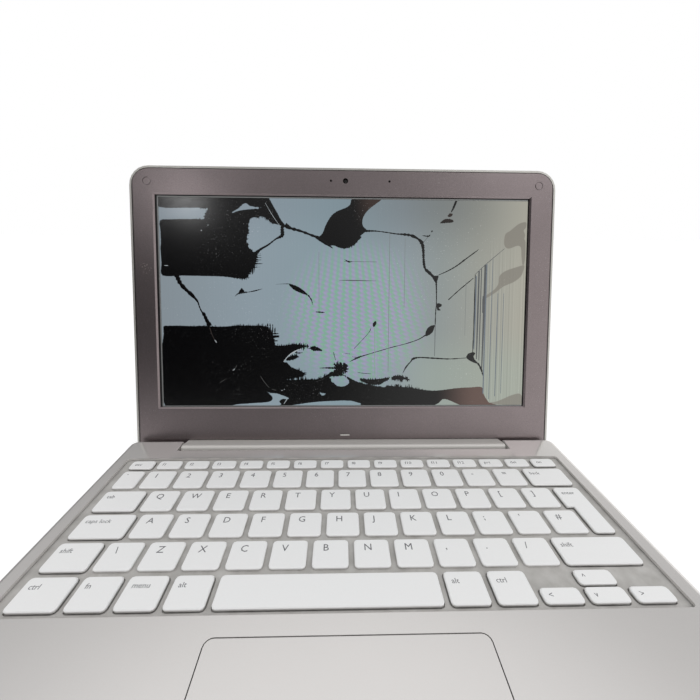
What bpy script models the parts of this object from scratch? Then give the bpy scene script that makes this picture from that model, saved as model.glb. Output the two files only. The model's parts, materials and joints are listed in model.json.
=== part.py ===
"""A small laptop with a broken display, open as it was left.

The lid carries one long bar that fills a notch in the rear of the base and turns there on two pins.
Lengths are in metres and +Z is up. The hinge axis lies along X, and the front of the base looks to -Y.
"""

import math

import bmesh
import bpy

MM = 0.001

# Fits
SEAT_GAP = 0.3 * MM
LAYER_GAP = 0.1 * MM
RUNNING_GAP = 0.4 * MM

# Lit area of the display, its foot measured up from the hinge axis
CONTENT_WIDTH = 256.1 * MM
CONTENT_HEIGHT = 144.0 * MM
CONTENT_BOTTOM = 29.7 * MM
CONTENT_TOP = CONTENT_BOTTOM + CONTENT_HEIGHT

# Outside of the closed laptop, which follows from the display and the borders round it
SIDE_BORDER = 18.7 * MM
TOP_BORDER = 20.6 * MM
REAR_OVERHANG = 3.2 * MM
WIDTH = CONTENT_WIDTH + 2.0 * SIDE_BORDER
DEPTH = REAR_OVERHANG + CONTENT_TOP + TOP_BORDER
FRONT_CORNER_RADIUS = 13.0 * MM
REAR_CORNER_RADIUS = 5.0 * MM
LEAST_RADIUS = 0.6 * MM
CORNER_STEPS = 6
CUT_PAST = 1.0 * MM

# Base
FOOT_HEIGHT = 1.6 * MM
BASE_HEIGHT = 10.8 * MM
DECK_THICKNESS = 1.4 * MM
BASE_WALL = 1.4 * MM
BASE_FLOOR = 1.2 * MM
NOTCH_WALL = 1.2 * MM
DECK_Z = FOOT_HEIGHT + BASE_HEIGHT
DECK_UNDERSIDE_Z = DECK_Z - DECK_THICKNESS
FLOOR_TOP_Z = FOOT_HEIGHT + BASE_FLOOR
REAR_Y = REAR_OVERHANG
FRONT_Y = REAR_OVERHANG - DEPTH

# Lid
LID_THICKNESS = 5.0 * MM
LID_FLOOR = 1.0 * MM
CLOSED_GAP = 0.6 * MM
RIM_WIDTH = 1.5 * MM
RIM_DROP = 0.2 * MM
BEZEL_THICKNESS = 1.3 * MM
LID_LEAN = 15.3
LID_FLOOR_Z = LID_FLOOR - LID_THICKNESS

# Hinge
AXIS_DROP = 5.2 * MM
AXIS_Z = DECK_Z - AXIS_DROP
AXIS_TO_BEZEL = AXIS_DROP + CLOSED_GAP
PIN_RADIUS = 1.5 * MM
PIN_CLEARANCE = 0.3 * MM

# Hinge bar
BAR_END_INSET = 36.05 * MM
BAR_LENGTH = WIDTH - 2.0 * BAR_END_INSET
BAR_TOP = 4.9 * MM
BAR_FRONT = 6.4 * MM
BAR_BOTTOM = REAR_OVERHANG
BAR_TOP_RADIUS = 2.0 * MM
BAR_BOTTOM_RADIUS = 2.6 * MM
BAR_END_WALL = 2.5 * MM
BAR_SLIT = 1.6 * MM
NOTCH_FRONT_GAP = 0.9 * MM

# Display
OPENING_LEFT = 2.2 * MM
OPENING_RIGHT = 0.8 * MM
OPENING_TOP = 1.6 * MM
OPENING_BOTTOM = 1.1 * MM
OPENING_CHAMFER = 1.0 * MM
MODULE_MARGIN = 4.5 * MM
MODULE_FOOT = 1.5 * MM
MODULE_THICKNESS = 2.0 * MM
CELL_THICKNESS = 0.5 * MM
CELL_SINK = 0.2 * MM
LEAK_THICKNESS = 0.12 * MM
LEAK_STEP = 0.01 * MM

# Keyboard: the keys share the width of the tray between its side margins
ROW_UNITS = 14.2
TRAY_SIDE = 7.45 * MM
TRAY_WIDTH = WIDTH - 2.0 * TRAY_SIDE
KEY_SIDE = 3.69 * MM
KEY_PITCH = (TRAY_WIDTH - 2.0 * KEY_SIDE) / ROW_UNITS
ROW_PITCH = 17.55 * MM
FUNCTION_ROW_PITCH = 10.1 * MM
KEY_GAP = 2.7 * MM
KEY_RADIUS = 1.6 * MM
KEY_CROWN = 0.35 * MM
KEY_THICKNESS = 1.4 * MM
KEY_PROUD = 0.05 * MM
CAP_SINK = 0.4 * MM
ARROW_GAP = 1.2 * MM
ENTER_STEP_RADIUS = 0.4 * MM
TRAY_REAR_Y = -17.0 * MM
TRAY_MARGIN = 1.2 * MM
TRAY_RADIUS = 2.0 * MM
BED_THICKNESS = 1.7 * MM
BED_FLOOR = 0.5 * MM
BED_LAP = 2.7 * MM
BED_RADIUS = 1.5 * MM
ROW_LINES = [TRAY_REAR_Y - TRAY_MARGIN]
ROW_LINES += [ROW_LINES[0] - FUNCTION_ROW_PITCH - k * ROW_PITCH for k in range(6)]
TRAY_FRONT_Y = ROW_LINES[-1] - TRAY_MARGIN

# Touchpad
PAD_WIDTH = 104.0 * MM
PAD_MARGIN = 10.8 * MM
PAD_TRAY_GAP = 8.25 * MM
PAD_REAR_Y = TRAY_FRONT_Y - PAD_TRAY_GAP
PAD_FRONT_Y = FRONT_Y + PAD_MARGIN
PAD_THICKNESS = 1.2 * MM
PAD_RADIUS = 3.0 * MM

# Ports, by the centre of each socket along the side
PORT_Z = 6.0 * MM
USB_Y = -74.0 * MM
USB_SIZE = (14.0 * MM, 13.2 * MM, 5.4 * MM)
USB_MOUTH = (12.2 * MM, 4.6 * MM)
USB_DEPTH = 11.5 * MM
USB_TONGUE_DEPTH = 5.0 * MM
USB_TONGUE_Z = 2.576 * MM
VIDEO_Y = -56.0 * MM
VIDEO_SIZE = (9.0 * MM, 7.6 * MM, 3.8 * MM)
VIDEO_MOUTH = (6.4 * MM, 2.6 * MM)
VIDEO_DEPTH = 7.0 * MM
INLET_Y = -38.0 * MM
INLET_RADIUS = 2.6 * MM
INLET_BORE = 1.9 * MM
INLET_DEPTH = 9.0 * MM
INLET_PIN_RADIUS = 0.5 * MM
INLET_PIN_SETBACK = 1.5 * MM
HEADPHONE_Y = -38.0 * MM
HEADPHONE_BORE = 1.75 * MM
HEADPHONE_DEPTH = 12.0 * MM
CARD_Y = -54.0 * MM
CARD_SIZE = (14.0 * MM, 13.0 * MM, 2.4 * MM)
CARD_MOUTH = (11.4 * MM, 1.0 * MM)
CARD_DEPTH = 13.0 * MM
SOCKET_SETBACK = 0.4 * MM
SOCKET_FACE = WIDTH / 2.0 - SOCKET_SETBACK
MOUTH_CUT_DEPTH = 3.0 * MM
MOUTH_WALL_GAP = 0.2 * MM

# Inside the base
BOARD_THICKNESS = 1.0 * MM
BOARD_Z = 4.6 * MM
BOARD_FRONT_Y = -92.0 * MM
BOARD_REAR_Y = -13.0 * MM
BOARD_HINGE_Y = -29.0 * MM
BOARD_BRACKET_GAP = 2.0 * MM
BOSS_RADIUS = 3.0 * MM
BOSS_SINK = 0.4 * MM
BOSS_X = 102.0 * MM
BOSS_REAR_INSET = 9.0 * MM
BOSS_FRONT_INSET = 8.0 * MM
CHIP_HEIGHT = 1.2 * MM
CHIP_SINK = 0.3 * MM
COOLING_X = (-46.0 * MM, 34.0 * MM)
COOLING_Y = (-76.0 * MM, -34.0 * MM)
COOLING_THICKNESS = 0.6 * MM
COOLING_RADIUS = 2.0 * MM
CARD_BOARD_X = (52.0 * MM, 74.0 * MM)
CARD_BOARD_Y = (-78.0 * MM, -48.0 * MM)
CARD_BOARD_THICKNESS = 0.9 * MM
BLOCK_HEIGHT = 5.0 * MM
BLOCK_RADIUS = 2.0 * MM
SPEAKER_WIDTH = 24.0 * MM
SPEAKER_LENGTH = 34.0 * MM
SPEAKER_WALL_GAP = 3.0 * MM
SPEAKER_MARGIN = 12.3 * MM
SPEAKER_FRONT_Y = FRONT_Y + SPEAKER_MARGIN
SPEAKER_OUT = WIDTH / 2.0 - BASE_WALL - SPEAKER_WALL_GAP
SLOT_COUNT = 6
SLOT_PITCH = 2.8 * MM
SLOT_WIDTH = 1.2 * MM
SLOT_LENGTH = 16.0 * MM
SLOT_ROUND = 0.55 * MM
SLOT_SIDE = 12.0 * MM
BATTERY_SPEAKER_GAP = 12.35 * MM
BATTERY_HALF = SPEAKER_OUT - SPEAKER_WIDTH - BATTERY_SPEAKER_GAP
BATTERY_MARGIN = 10.8 * MM
BATTERY_TRAY_GAP = 10.25 * MM
BATTERY_FRONT_Y = FRONT_Y + BATTERY_MARGIN
BATTERY_REAR_Y = TRAY_FRONT_Y - BATTERY_TRAY_GAP

# Feet
FOOT_LENGTH = 34.0 * MM
FOOT_WIDTH = 6.0 * MM
FOOT_SIDE = 34.75 * MM
FOOT_MARGIN = 12.3 * MM
FOOT_X = WIDTH / 2.0 - FOOT_SIDE
FOOT_FRONT_Y = FRONT_Y + FOOT_MARGIN
FOOT_REAR_Y = -16.5 * MM
FOOT_CORNER_RADIUS = 2.6 * MM
FOOT_BEVEL = 0.4 * MM

bpy.context.scene.unit_settings.system = "METRIC"
for old in list(bpy.data.objects):
    bpy.data.objects.remove(old, do_unlink=True)


def material(name, colour, roughness, metallic=0.0):
    """A Principled material with one plain colour."""
    made = bpy.data.materials.new(name)
    made.use_nodes = True
    shader = made.node_tree.nodes["Principled BSDF"]
    shader.inputs["Base Color"].default_value = (*colour, 1.0)
    shader.inputs["Roughness"].default_value = roughness
    shader.inputs["Metallic"].default_value = metallic
    made.diffuse_color = (*colour, 1.0)
    return made


SILVER = material("silver_paint", (0.62, 0.61, 0.59), 0.35, 0.6)
PALE_DECK = material("pale_deck", (0.86, 0.86, 0.87), 0.45, 0.2)
TAUPE = material("taupe_bezel", (0.16, 0.135, 0.135), 0.42, 0.5)
WHITE_KEY = material("white_key", (0.88, 0.88, 0.88), 0.5)
RUBBER = material("grey_rubber", (0.07, 0.065, 0.065), 0.8)
STEEL = material("steel", (0.55, 0.55, 0.56), 0.3, 1.0)
DISPLAY_TRAY = material("display_tray", (0.03, 0.03, 0.031), 0.5)
LCD_GREY = material("lcd_grey", (0.28, 0.31, 0.33), 0.25)
LEAK_BLACK = material("leaked_crystal", (0.012, 0.012, 0.014), 0.2)
BOARD_GREEN = material("board_green", (0.02, 0.12, 0.06), 0.5)
PACK_BLACK = material("pack_black", (0.03, 0.03, 0.035), 0.6)
COPPER = material("copper", (0.72, 0.35, 0.2), 0.35, 1.0)
LENS_BLACK = material("lens_black", (0.01, 0.01, 0.012), 0.08)


def empty(name, location, parent=None, turn_x=0.0):
    made = bpy.data.objects.new(name, None)
    made.empty_display_size = 0.02
    made.location = location
    made.rotation_euler = (turn_x, 0.0, 0.0)
    made.parent = parent
    bpy.context.scene.collection.objects.link(made)
    return made


BASE = empty("base_origin", (0.0, 0.0, 0.0))
LID = empty("lid_axis", (0.0, 0.0, AXIS_Z), BASE, math.radians(90.0 - LID_LEAN))


def rounded_polygon(corners, steps=CORNER_STEPS):
    """Points of a closed outline whose corners (x, y, radius) are rounded by arcs."""
    points = []
    count = len(corners)
    for i, (x, y, radius) in enumerate(corners):
        if radius <= 0.0:
            points.append((x, y))
            continue
        ax, ay = corners[i - 1][0] - x, corners[i - 1][1] - y
        bx, by = corners[(i + 1) % count][0] - x, corners[(i + 1) % count][1] - y
        a, b = math.hypot(ax, ay), math.hypot(bx, by)
        ax, ay, bx, by = ax / a, ay / a, bx / b, by / b
        half = 0.5 * math.acos(max(-1.0, min(1.0, ax * bx + ay * by)))
        reach = radius / math.tan(half)
        mx, my = ax + bx, ay + by
        m = math.hypot(mx, my)
        away = radius / math.sin(half)
        cx, cy = x + mx / m * away, y + my / m * away
        start = math.atan2(y + ay * reach - cy, x + ax * reach - cx)
        sweep = math.atan2(y + by * reach - cy, x + bx * reach - cx) - start
        sweep = (sweep + math.pi) % (2.0 * math.pi) - math.pi
        for k in range(steps + 1):
            angle = start + sweep * k / steps
            points.append((cx + radius * math.cos(angle), cy + radius * math.sin(angle)))
    return points


def rectangle(x0, x1, y0, y1, radius=0.0, steps=CORNER_STEPS):
    return rounded_polygon([(x0, y0, radius), (x1, y0, radius), (x1, y1, radius), (x0, y1, radius)], steps)


def circle(x, y, radius, sides):
    turn = 2.0 * math.pi / sides
    return [(x + radius * math.cos(k * turn), y + radius * math.sin(k * turn)) for k in range(sides)]


def add_loft(mesh, rings):
    """Bridges rings of equal length in order and caps the first and the last."""
    loops = [[mesh.verts.new(point) for point in ring] for ring in rings]
    for lower, upper in zip(loops, loops[1:]):
        for k in range(len(lower)):
            j = (k + 1) % len(lower)
            mesh.faces.new((lower[k], lower[j], upper[j], upper[k]))
    mesh.faces.new(list(reversed(loops[0])))
    mesh.faces.new(loops[-1])


def at_height(outline, z):
    return [(x, y, z) for x, y in outline]


def along_x(profile, x):
    """A profile given in the Y-Z plane, set at one X."""
    return [(x, y, z) for y, z in profile]


def finished(name, mesh, finish, parent, smooth=True):
    """Turns a bmesh into a named object with outward faces."""
    bmesh.ops.recalc_face_normals(mesh, faces=mesh.faces)
    data = bpy.data.meshes.new(name)
    mesh.to_mesh(data)
    mesh.free()
    if finish is not None:
        data.materials.append(finish)
    made = bpy.data.objects.new(name, data)
    made.parent = parent
    bpy.context.scene.collection.objects.link(made)
    if smooth:
        data.shade_smooth()
        data.set_sharp_from_angle(angle=math.radians(35.0))
    return made


def lofted(name, rings, finish, parent):
    mesh = bmesh.new()
    add_loft(mesh, rings)
    return finished(name, mesh, finish, parent)


def prism(name, outline, z0, z1, finish, parent):
    return lofted(name, [at_height(outline, z0), at_height(outline, z1)], finish, parent)


def several_prisms(name, items, parent):
    """A cutter or tool made of separate prisms, each (outline, z0, z1)."""
    mesh = bmesh.new()
    for outline, z0, z1 in items:
        add_loft(mesh, [at_height(outline, z0), at_height(outline, z1)])
    return finished(name, mesh, None, parent, smooth=False)


def rods_along_x(name, rods, finish, parent, sides=16):
    """Round rods, each (x0, x1, y, z, radius), in one object."""
    mesh = bmesh.new()
    for x0, x1, y, z, radius in rods:
        profile = circle(y, z, radius, sides)
        add_loft(mesh, [along_x(profile, x0), along_x(profile, x1)])
    return finished(name, mesh, finish, parent, smooth=finish is not None)


def boolean(target, tool, operation="DIFFERENCE"):
    tool.hide_render = True
    tool.display_type = "WIRE"
    modifier = target.modifiers.new(f"{operation.lower()} {tool.name}", "BOOLEAN")
    modifier.operation = operation
    modifier.solver = "EXACT"
    modifier.object = tool


# Lid

BAR_HALF = BAR_LENGTH / 2.0
LID_BOTTOM = -REAR_OVERHANG
LID_TOP = DEPTH - REAR_OVERHANG
RIM_ROUND = 0.3 * MM
TRAY_FLOOR_INSET = 3.6 * MM

# The back shell's rounded edge and its hollow, as (behind the bezel's front, in from the edge) in millimetres
SHELL_DRAWN = 5.0
SHELL_EDGE = ((5.0, 5.0), (4.7, 3.4), (4.0, 1.8), (3.0, 0.5), (2.0, 0.0), (0.6, 0.0))
SHELL_HOLLOW = ((2.4, 0.0), (3.4, 0.9))


def lid_z(behind_bezel):
    """Height in the lid's own frame of a level given from the front of the bezel."""
    return behind_bezel - AXIS_TO_BEZEL


def lid_outline(inset):
    half = WIDTH / 2.0 - inset
    rear = max(REAR_CORNER_RADIUS - inset, LEAST_RADIUS)
    front = max(FRONT_CORNER_RADIUS - inset, LEAST_RADIUS)
    low, high = LID_BOTTOM + inset, LID_TOP - inset
    return rounded_polygon([(-half, low, rear), (half, low, rear), (half, high, front), (-half, high, front)])


def make_lid_cover():
    """The back shell: a shallow tray with a rounded edge, open towards the display."""
    stretch = LID_THICKNESS / SHELL_DRAWN
    rings = [at_height(lid_outline(inset * MM), lid_z(-behind * stretch)) for behind, inset in SHELL_EDGE]
    rings.append(at_height(lid_outline(RIM_ROUND), lid_z(-RIM_DROP)))
    rings.append(at_height(lid_outline(RIM_WIDTH), lid_z(-RIM_DROP)))
    for behind, inset in SHELL_HOLLOW:
        rings.append(at_height(lid_outline(RIM_WIDTH + inset * MM), lid_z(-behind * stretch)))
    rings.append(at_height(lid_outline(RIM_WIDTH + TRAY_FLOOR_INSET), lid_z(LID_FLOOR_Z)))
    lofted("lid_cover", rings, SILVER, LID)


def bezel_outline(inset):
    side = WIDTH / 2.0 - RIM_WIDTH - SEAT_GAP - inset
    low = LID_BOTTOM + RIM_WIDTH + SEAT_GAP + inset
    high = LID_TOP - RIM_WIDTH - SEAT_GAP - inset
    notch = BAR_HALF + SEAT_GAP + inset
    notch_top = BAR_TOP + SEAT_GAP + inset
    corner = FRONT_CORNER_RADIUS - RIM_WIDTH - SEAT_GAP - inset
    small = REAR_CORNER_RADIUS - RIM_WIDTH - SEAT_GAP - inset
    return rounded_polygon(
        [
            (-side, low, small),
            (-notch, low, 0.0),
            (-notch, notch_top, 0.0),
            (notch, notch_top, 0.0),
            (notch, low, 0.0),
            (side, low, small),
            (side, high, corner),
            (-side, high, corner),
        ]
    )


CONTENT_LEFT = -CONTENT_WIDTH / 2.0
BEZEL_ROUND = 0.3 * MM
BEZEL_PAST = 0.4 * MM
CAMERA_RISE = 11.8 * MM
CAMERA_Y = CONTENT_TOP + CAMERA_RISE
BUMPER_OUT = 6.75 * MM
BUMPER_RISE = 10.1 * MM
BUMPER_X = CONTENT_WIDTH / 2.0 + BUMPER_OUT
BUMPER_Y = CONTENT_TOP + BUMPER_RISE
BUMPER_RADIUS = 2.5 * MM
BUMPER_SINK = 0.5 * MM
BUMPER_PROUD = 0.25 * MM
BUMPER_SHOULDER = 0.05 * MM
BUMPER_ROUND = 0.3 * MM
STRIP_PROUD = 0.1 * MM
LENS_RADIUS = 1.3 * MM
LENS_SINK = 0.35 * MM
LENS_CROWN = 0.15 * MM
LENS_ROUND = 0.4 * MM
PICKUP_X = (-10.0 * MM, 30.3 * MM)
PICKUP_RADIUS = 0.45 * MM
STRIP_Y = 8.3 * MM
STRIP_SIZE = (6.6 * MM, 0.9 * MM)


def opening_outline(spread):
    return rectangle(
        CONTENT_LEFT - OPENING_LEFT - spread,
        -CONTENT_LEFT + OPENING_RIGHT + spread,
        CONTENT_BOTTOM - OPENING_BOTTOM - spread,
        CONTENT_TOP + OPENING_TOP + spread,
    )


def strip_outline(spread):
    x, y = STRIP_SIZE[0] / 2.0 + spread, STRIP_SIZE[1] / 2.0 + spread
    return rectangle(-x, x, STRIP_Y - y, STRIP_Y + y)


def make_screen_bezel():
    """The front frame, with a chamfered window, camera and microphone holes and seats for the bumpers."""
    rings = [
        at_height(bezel_outline(0.0), lid_z(-BEZEL_THICKNESS)),
        at_height(bezel_outline(0.0), lid_z(-BEZEL_ROUND)),
        at_height(bezel_outline(BEZEL_ROUND), lid_z(0.0)),
    ]
    made = lofted("screen_bezel", rings, TAUPE, LID)
    past = BEZEL_PAST
    window = [
        at_height(opening_outline(0.0), lid_z(-BEZEL_THICKNESS - past)),
        at_height(opening_outline(0.0), lid_z(-OPENING_CHAMFER)),
        at_height(opening_outline(OPENING_CHAMFER + past), lid_z(past)),
    ]
    boolean(made, lofted("window_cutter", window, None, LID))
    through = (lid_z(-BEZEL_THICKNESS - past), lid_z(past))
    holes = [(circle(0.0, CAMERA_Y, LENS_RADIUS + LAYER_GAP, 16), *through)]
    holes += [(circle(x, CAMERA_Y, PICKUP_RADIUS, 8), *through) for x in PICKUP_X]
    seat = BUMPER_RADIUS + SEAT_GAP
    for side in (-1.0, 1.0):
        holes.append((circle(side * BUMPER_X, BUMPER_Y, seat, 16), lid_z(-BUMPER_SINK), lid_z(past)))
    holes.append((strip_outline(LAYER_GAP), lid_z(-BUMPER_SINK), lid_z(past)))
    boolean(made, several_prisms("bezel_hole_cutter", holes, LID))


def make_bumpers():
    """Two round pads at the top corners and the short strip over the middle of the bar."""
    low, high = lid_z(-BUMPER_SINK + LAYER_GAP), lid_z(BUMPER_PROUD)
    for word, side in (("left", -1.0), ("right", 1.0)):
        outline = circle(side * BUMPER_X, BUMPER_Y, BUMPER_RADIUS, 16)
        inner = circle(side * BUMPER_X, BUMPER_Y, BUMPER_RADIUS - BUMPER_ROUND, 16)
        rings = [at_height(outline, low), at_height(outline, lid_z(BUMPER_SHOULDER)), at_height(inner, high)]
        lofted(f"lid_bumper_{word}", rings, TAUPE, LID)
    prism("bumper_strip", strip_outline(0.0), low, lid_z(STRIP_PROUD), SILVER, LID)


# The leak is drawn in millimetres on a lit area of this size and stretched to the real one
DRAWN_WIDTH = 256.1
DRAWN_HEIGHT = 144.0
LEAK_EDGE = 0.5
LEAK_POINT_GAP = 0.2
STAR_CENTRE = (125.2, 26.4)
STAR_ARMS = 9
STAR_INNER = 3.0
STAR_OUTER = 8.0

MODULE_FRONT = -(BEZEL_THICKNESS + SEAT_GAP + LAYER_GAP)
CELL_FRONT = MODULE_FRONT - CELL_SINK
CELL_EDGE = 0.2 * MM


def content_outline(spread, foot=0.0):
    return rectangle(
        CONTENT_LEFT - spread,
        -CONTENT_LEFT + spread,
        CONTENT_BOTTOM - spread - foot,
        CONTENT_TOP + spread,
    )


def make_display():
    """The display module: a thin tray with a lip, and the glass cell that lies in it."""
    back = MODULE_FRONT - MODULE_THICKNESS
    lip = CELL_EDGE + LAYER_GAP
    rings = [
        at_height(content_outline(MODULE_MARGIN, MODULE_FOOT), lid_z(back)),
        at_height(content_outline(MODULE_MARGIN, MODULE_FOOT), lid_z(MODULE_FRONT)),
        at_height(content_outline(lip), lid_z(MODULE_FRONT)),
        at_height(content_outline(lip), lid_z(CELL_FRONT - CELL_THICKNESS - LAYER_GAP)),
    ]
    lofted("lcd_frame", rings, DISPLAY_TRAY, LID)
    cell = content_outline(CELL_EDGE)
    prism("lcd_cell", cell, lid_z(CELL_FRONT - CELL_THICKNESS), lid_z(CELL_FRONT), LCD_GREY, LID)


def smooth_closed(points, steps):
    """A closed Catmull-Rom curve through hand-placed points."""
    count = len(points)
    made = []
    for i in range(count):
        p0, p1, p2, p3 = (points[(i + k - 1) % count] for k in range(4))
        for k in range(steps):
            t = k / steps
            made.append(
                tuple(
                    0.5 * (2 * b + (c - a) * t + (2 * a - 5 * b + 4 * c - d) * t * t + (3 * b - a - 3 * c + d) * t**3)
                    for a, b, c, d in zip(p0, p1, p2, p3)
                )
            )
    return made


def kept_on_glass(points):
    """The same outline held inside the lit area, without points that fall together at its corners."""
    kept = []
    for x, y in points:
        x = max(LEAK_EDGE, min(DRAWN_WIDTH - LEAK_EDGE, x))
        y = max(LEAK_EDGE, min(DRAWN_HEIGHT - LEAK_EDGE, y))
        if not kept or math.dist(kept[-1], (x, y)) > LEAK_POINT_GAP:
            kept.append((x, y))
    return kept


def ribbon(path):
    """The outline of a crack that follows points (x, y, width)."""
    left, right = [], []
    for i, (x, y, width) in enumerate(path):
        ax, ay, _ = path[max(i - 1, 0)]
        bx, by, _ = path[min(i + 1, len(path) - 1)]
        length = math.hypot(bx - ax, by - ay)
        nx, ny = -(by - ay) / length, (bx - ax) / length
        left.append((x + nx * width / 2.0, y + ny * width / 2.0))
        right.append((x - nx * width / 2.0, y - ny * width / 2.0))
    return left + right[::-1]


def impact_star(x, y, arms, inner, outer):
    """A star of uneven arms around the point of impact."""
    points = []
    for k in range(2 * arms):
        reach = inner if k % 2 else outer * (0.75 + 0.25 * math.cos(2.3 * k))
        angle = math.pi * k / arms
        points.append((x + reach * math.cos(angle), y + reach * math.sin(angle)))
    return points


# Dark fields of leaked crystal, in millimetres from the lower left corner of the lit area
UPPER_LEAK = [
    (0.6, 143.4), (73.0, 143.4), (78.5, 136.8), (84.6, 127.5), (85.8, 122.0), (79.7, 126.2), (74.6, 129.7),
    (67.5, 132.3), (62.4, 128.6), (60.3, 122.0), (60.5, 116.4), (63.7, 109.8), (67.4, 106.5), (65.7, 101.0),
    (62.8, 94.9), (59.0, 90.0), (44.0, 90.4), (30.0, 90.8), (14.0, 89.6), (1.0, 90.8), (0.8, 110.0), (1.0, 129.2),
    (16.0, 129.5), (32.0, 129.7), (30.8, 136.4), (16.0, 137.6), (1.0, 137.4),
]
TOP_LEAK = [
    (133.0, 143.4), (151.0, 143.4), (148.0, 137.8), (142.0, 131.7), (140.0, 126.6), (141.6, 122.4), (138.0, 117.4),
    (134.5, 113.3), (128.3, 110.8), (120.2, 111.6), (112.0, 113.9), (108.4, 118.4), (113.2, 125.6), (117.4, 131.7),
    (124.7, 135.8), (131.2, 138.4),
]
LOWER_LEAK = [
    (0.8, 0.6), (0.8, 56.0), (18.0, 56.4), (46.0, 56.4), (68.0, 56.2), (75.5, 53.0), (77.8, 48.0), (78.5, 43.8),
    (88.0, 43.4), (97.0, 42.4), (90.0, 40.0), (84.5, 36.0), (86.0, 30.5), (93.0, 27.5), (97.5, 23.0), (104.0, 20.5),
    (112.0, 21.0), (120.0, 22.0), (130.0, 19.5), (142.0, 16.5), (152.0, 14.0), (164.0, 16.0), (180.0, 12.4),
    (200.0, 10.8), (215.0, 11.0), (226.0, 12.6), (228.5, 7.0), (231.0, 0.8), (150.0, 0.6), (80.0, 0.6),
]
TOP_CRACK = [(82.0, 130.5, 3.4), (86.5, 122.6, 3.0), (96.0, 120.6, 2.2), (104.0, 119.2, 2.4), (111.5, 117.0, 3.2)]
BRANCH_CRACK = [(85.6, 124.5, 2.0), (84.4, 117.5, 1.6), (76.0, 111.8, 1.2), (66.0, 105.5, 2.0)]
LEFT_CRACK = [
    (12.0, 92.5, 3.0), (18.6, 82.6, 2.2), (25.6, 73.4, 1.6), (28.4, 63.2, 2.0), (32.3, 55.0, 2.8), (35.0, 49.0, 1.6),
]
RIGHT_CRACK = [
    (137.5, 121.8, 3.0), (157.2, 122.5, 1.6), (171.5, 120.4, 1.8), (179.6, 116.0, 2.4), (182.3, 100.0, 2.6),
    (186.2, 93.9, 2.0), (190.1, 88.8, 2.6), (190.3, 71.4, 1.4), (189.2, 55.0, 1.0), (188.4, 35.0, 0.8),
]


def on_content(points):
    across, up = CONTENT_WIDTH / DRAWN_WIDTH, CONTENT_HEIGHT / DRAWN_HEIGHT
    return [(CONTENT_LEFT + x * across, CONTENT_BOTTOM + y * up) for x, y in points]


def make_leaked_crystal():
    """The dark fields and the cracks between them, as one thin layer on the glass cell."""
    shapes = [
        kept_on_glass(smooth_closed(LOWER_LEAK, 2)),
        kept_on_glass(smooth_closed(UPPER_LEAK, 2)),
        kept_on_glass(smooth_closed(TOP_LEAK, 2)),
        ribbon(TOP_CRACK),
        ribbon(BRANCH_CRACK),
        ribbon(LEFT_CRACK),
        ribbon(RIGHT_CRACK),
        impact_star(*STAR_CENTRE, STAR_ARMS, STAR_INNER, STAR_OUTER),
    ]
    base = CELL_FRONT + LAYER_GAP
    made = None
    for k, shape in enumerate(shapes):
        low = lid_z(base + k * LEAK_STEP)
        high = lid_z(base + LEAK_THICKNESS + 2 * k * LEAK_STEP)
        name = "leaked_crystal" if made is None else f"leak_tool_{k}"
        piece = prism(name, on_content(shape), low, high, LEAK_BLACK, LID)
        if made is None:
            made = piece
        else:
            boolean(made, piece, "UNION")


LID_BOARD_THICKNESS = 0.8 * MM
LID_BOARD_RADIUS = 0.8 * MM
DISPLAY_BOARD_ARM_GAP = 5.0 * MM
DISPLAY_BOARD_Y = (12.0 * MM, 22.0 * MM)
WEBCAM_BOARD_END = 4.0 * MM
WEBCAM_BOARD_HALF = 2.6 * MM
ANTENNA_SIDE = 34.75 * MM
ANTENNA_LENGTH = 54.0 * MM
ANTENNA_HALF = 3.0 * MM
ANTENNA_THICKNESS = 0.5 * MM


def make_lid_electronics():
    """The boards that lie on the floor of the back shell, behind the bezel."""
    low = lid_z(LID_FLOOR_Z + SEAT_GAP)
    high = low + LID_BOARD_THICKNESS
    half = EAR_X - ARM_PLATE_REACH - DISPLAY_BOARD_ARM_GAP
    strip = rectangle(-half, half, *DISPLAY_BOARD_Y, LID_BOARD_RADIUS, 2)
    prism("display_board", strip, low, high, BOARD_GREEN, LID)
    x0, x1 = PICKUP_X[0] - WEBCAM_BOARD_END, PICKUP_X[1] + WEBCAM_BOARD_END
    y0, y1 = CAMERA_Y - WEBCAM_BOARD_HALF, CAMERA_Y + WEBCAM_BOARD_HALF
    prism("webcam_board", rectangle(x0, x1, y0, y1, LID_BOARD_RADIUS, 2), low, high, BOARD_GREEN, LID)
    lens = circle(0.0, CAMERA_Y, LENS_RADIUS, 16)
    dome = circle(0.0, CAMERA_Y, LENS_RADIUS - LENS_ROUND, 16)
    top = lid_z(-LENS_SINK)
    rings = [at_height(lens, high + LAYER_GAP), at_height(lens, top - LENS_CROWN), at_height(dome, top)]
    lofted("webcam_lens", rings, LENS_BLACK, LID)
    out = WIDTH / 2.0 - ANTENNA_SIDE
    for word, side in (("left", -1.0), ("right", 1.0)):
        x0, x1 = sorted((side * (out - ANTENNA_LENGTH), side * out))
        foil = rectangle(x0, x1, CAMERA_Y - ANTENNA_HALF, CAMERA_Y + ANTENNA_HALF, LID_BOARD_RADIUS, 2)
        prism(f"antenna_{word}", foil, low, low + ANTENNA_THICKNESS, COPPER, LID)


# Hinge

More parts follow.
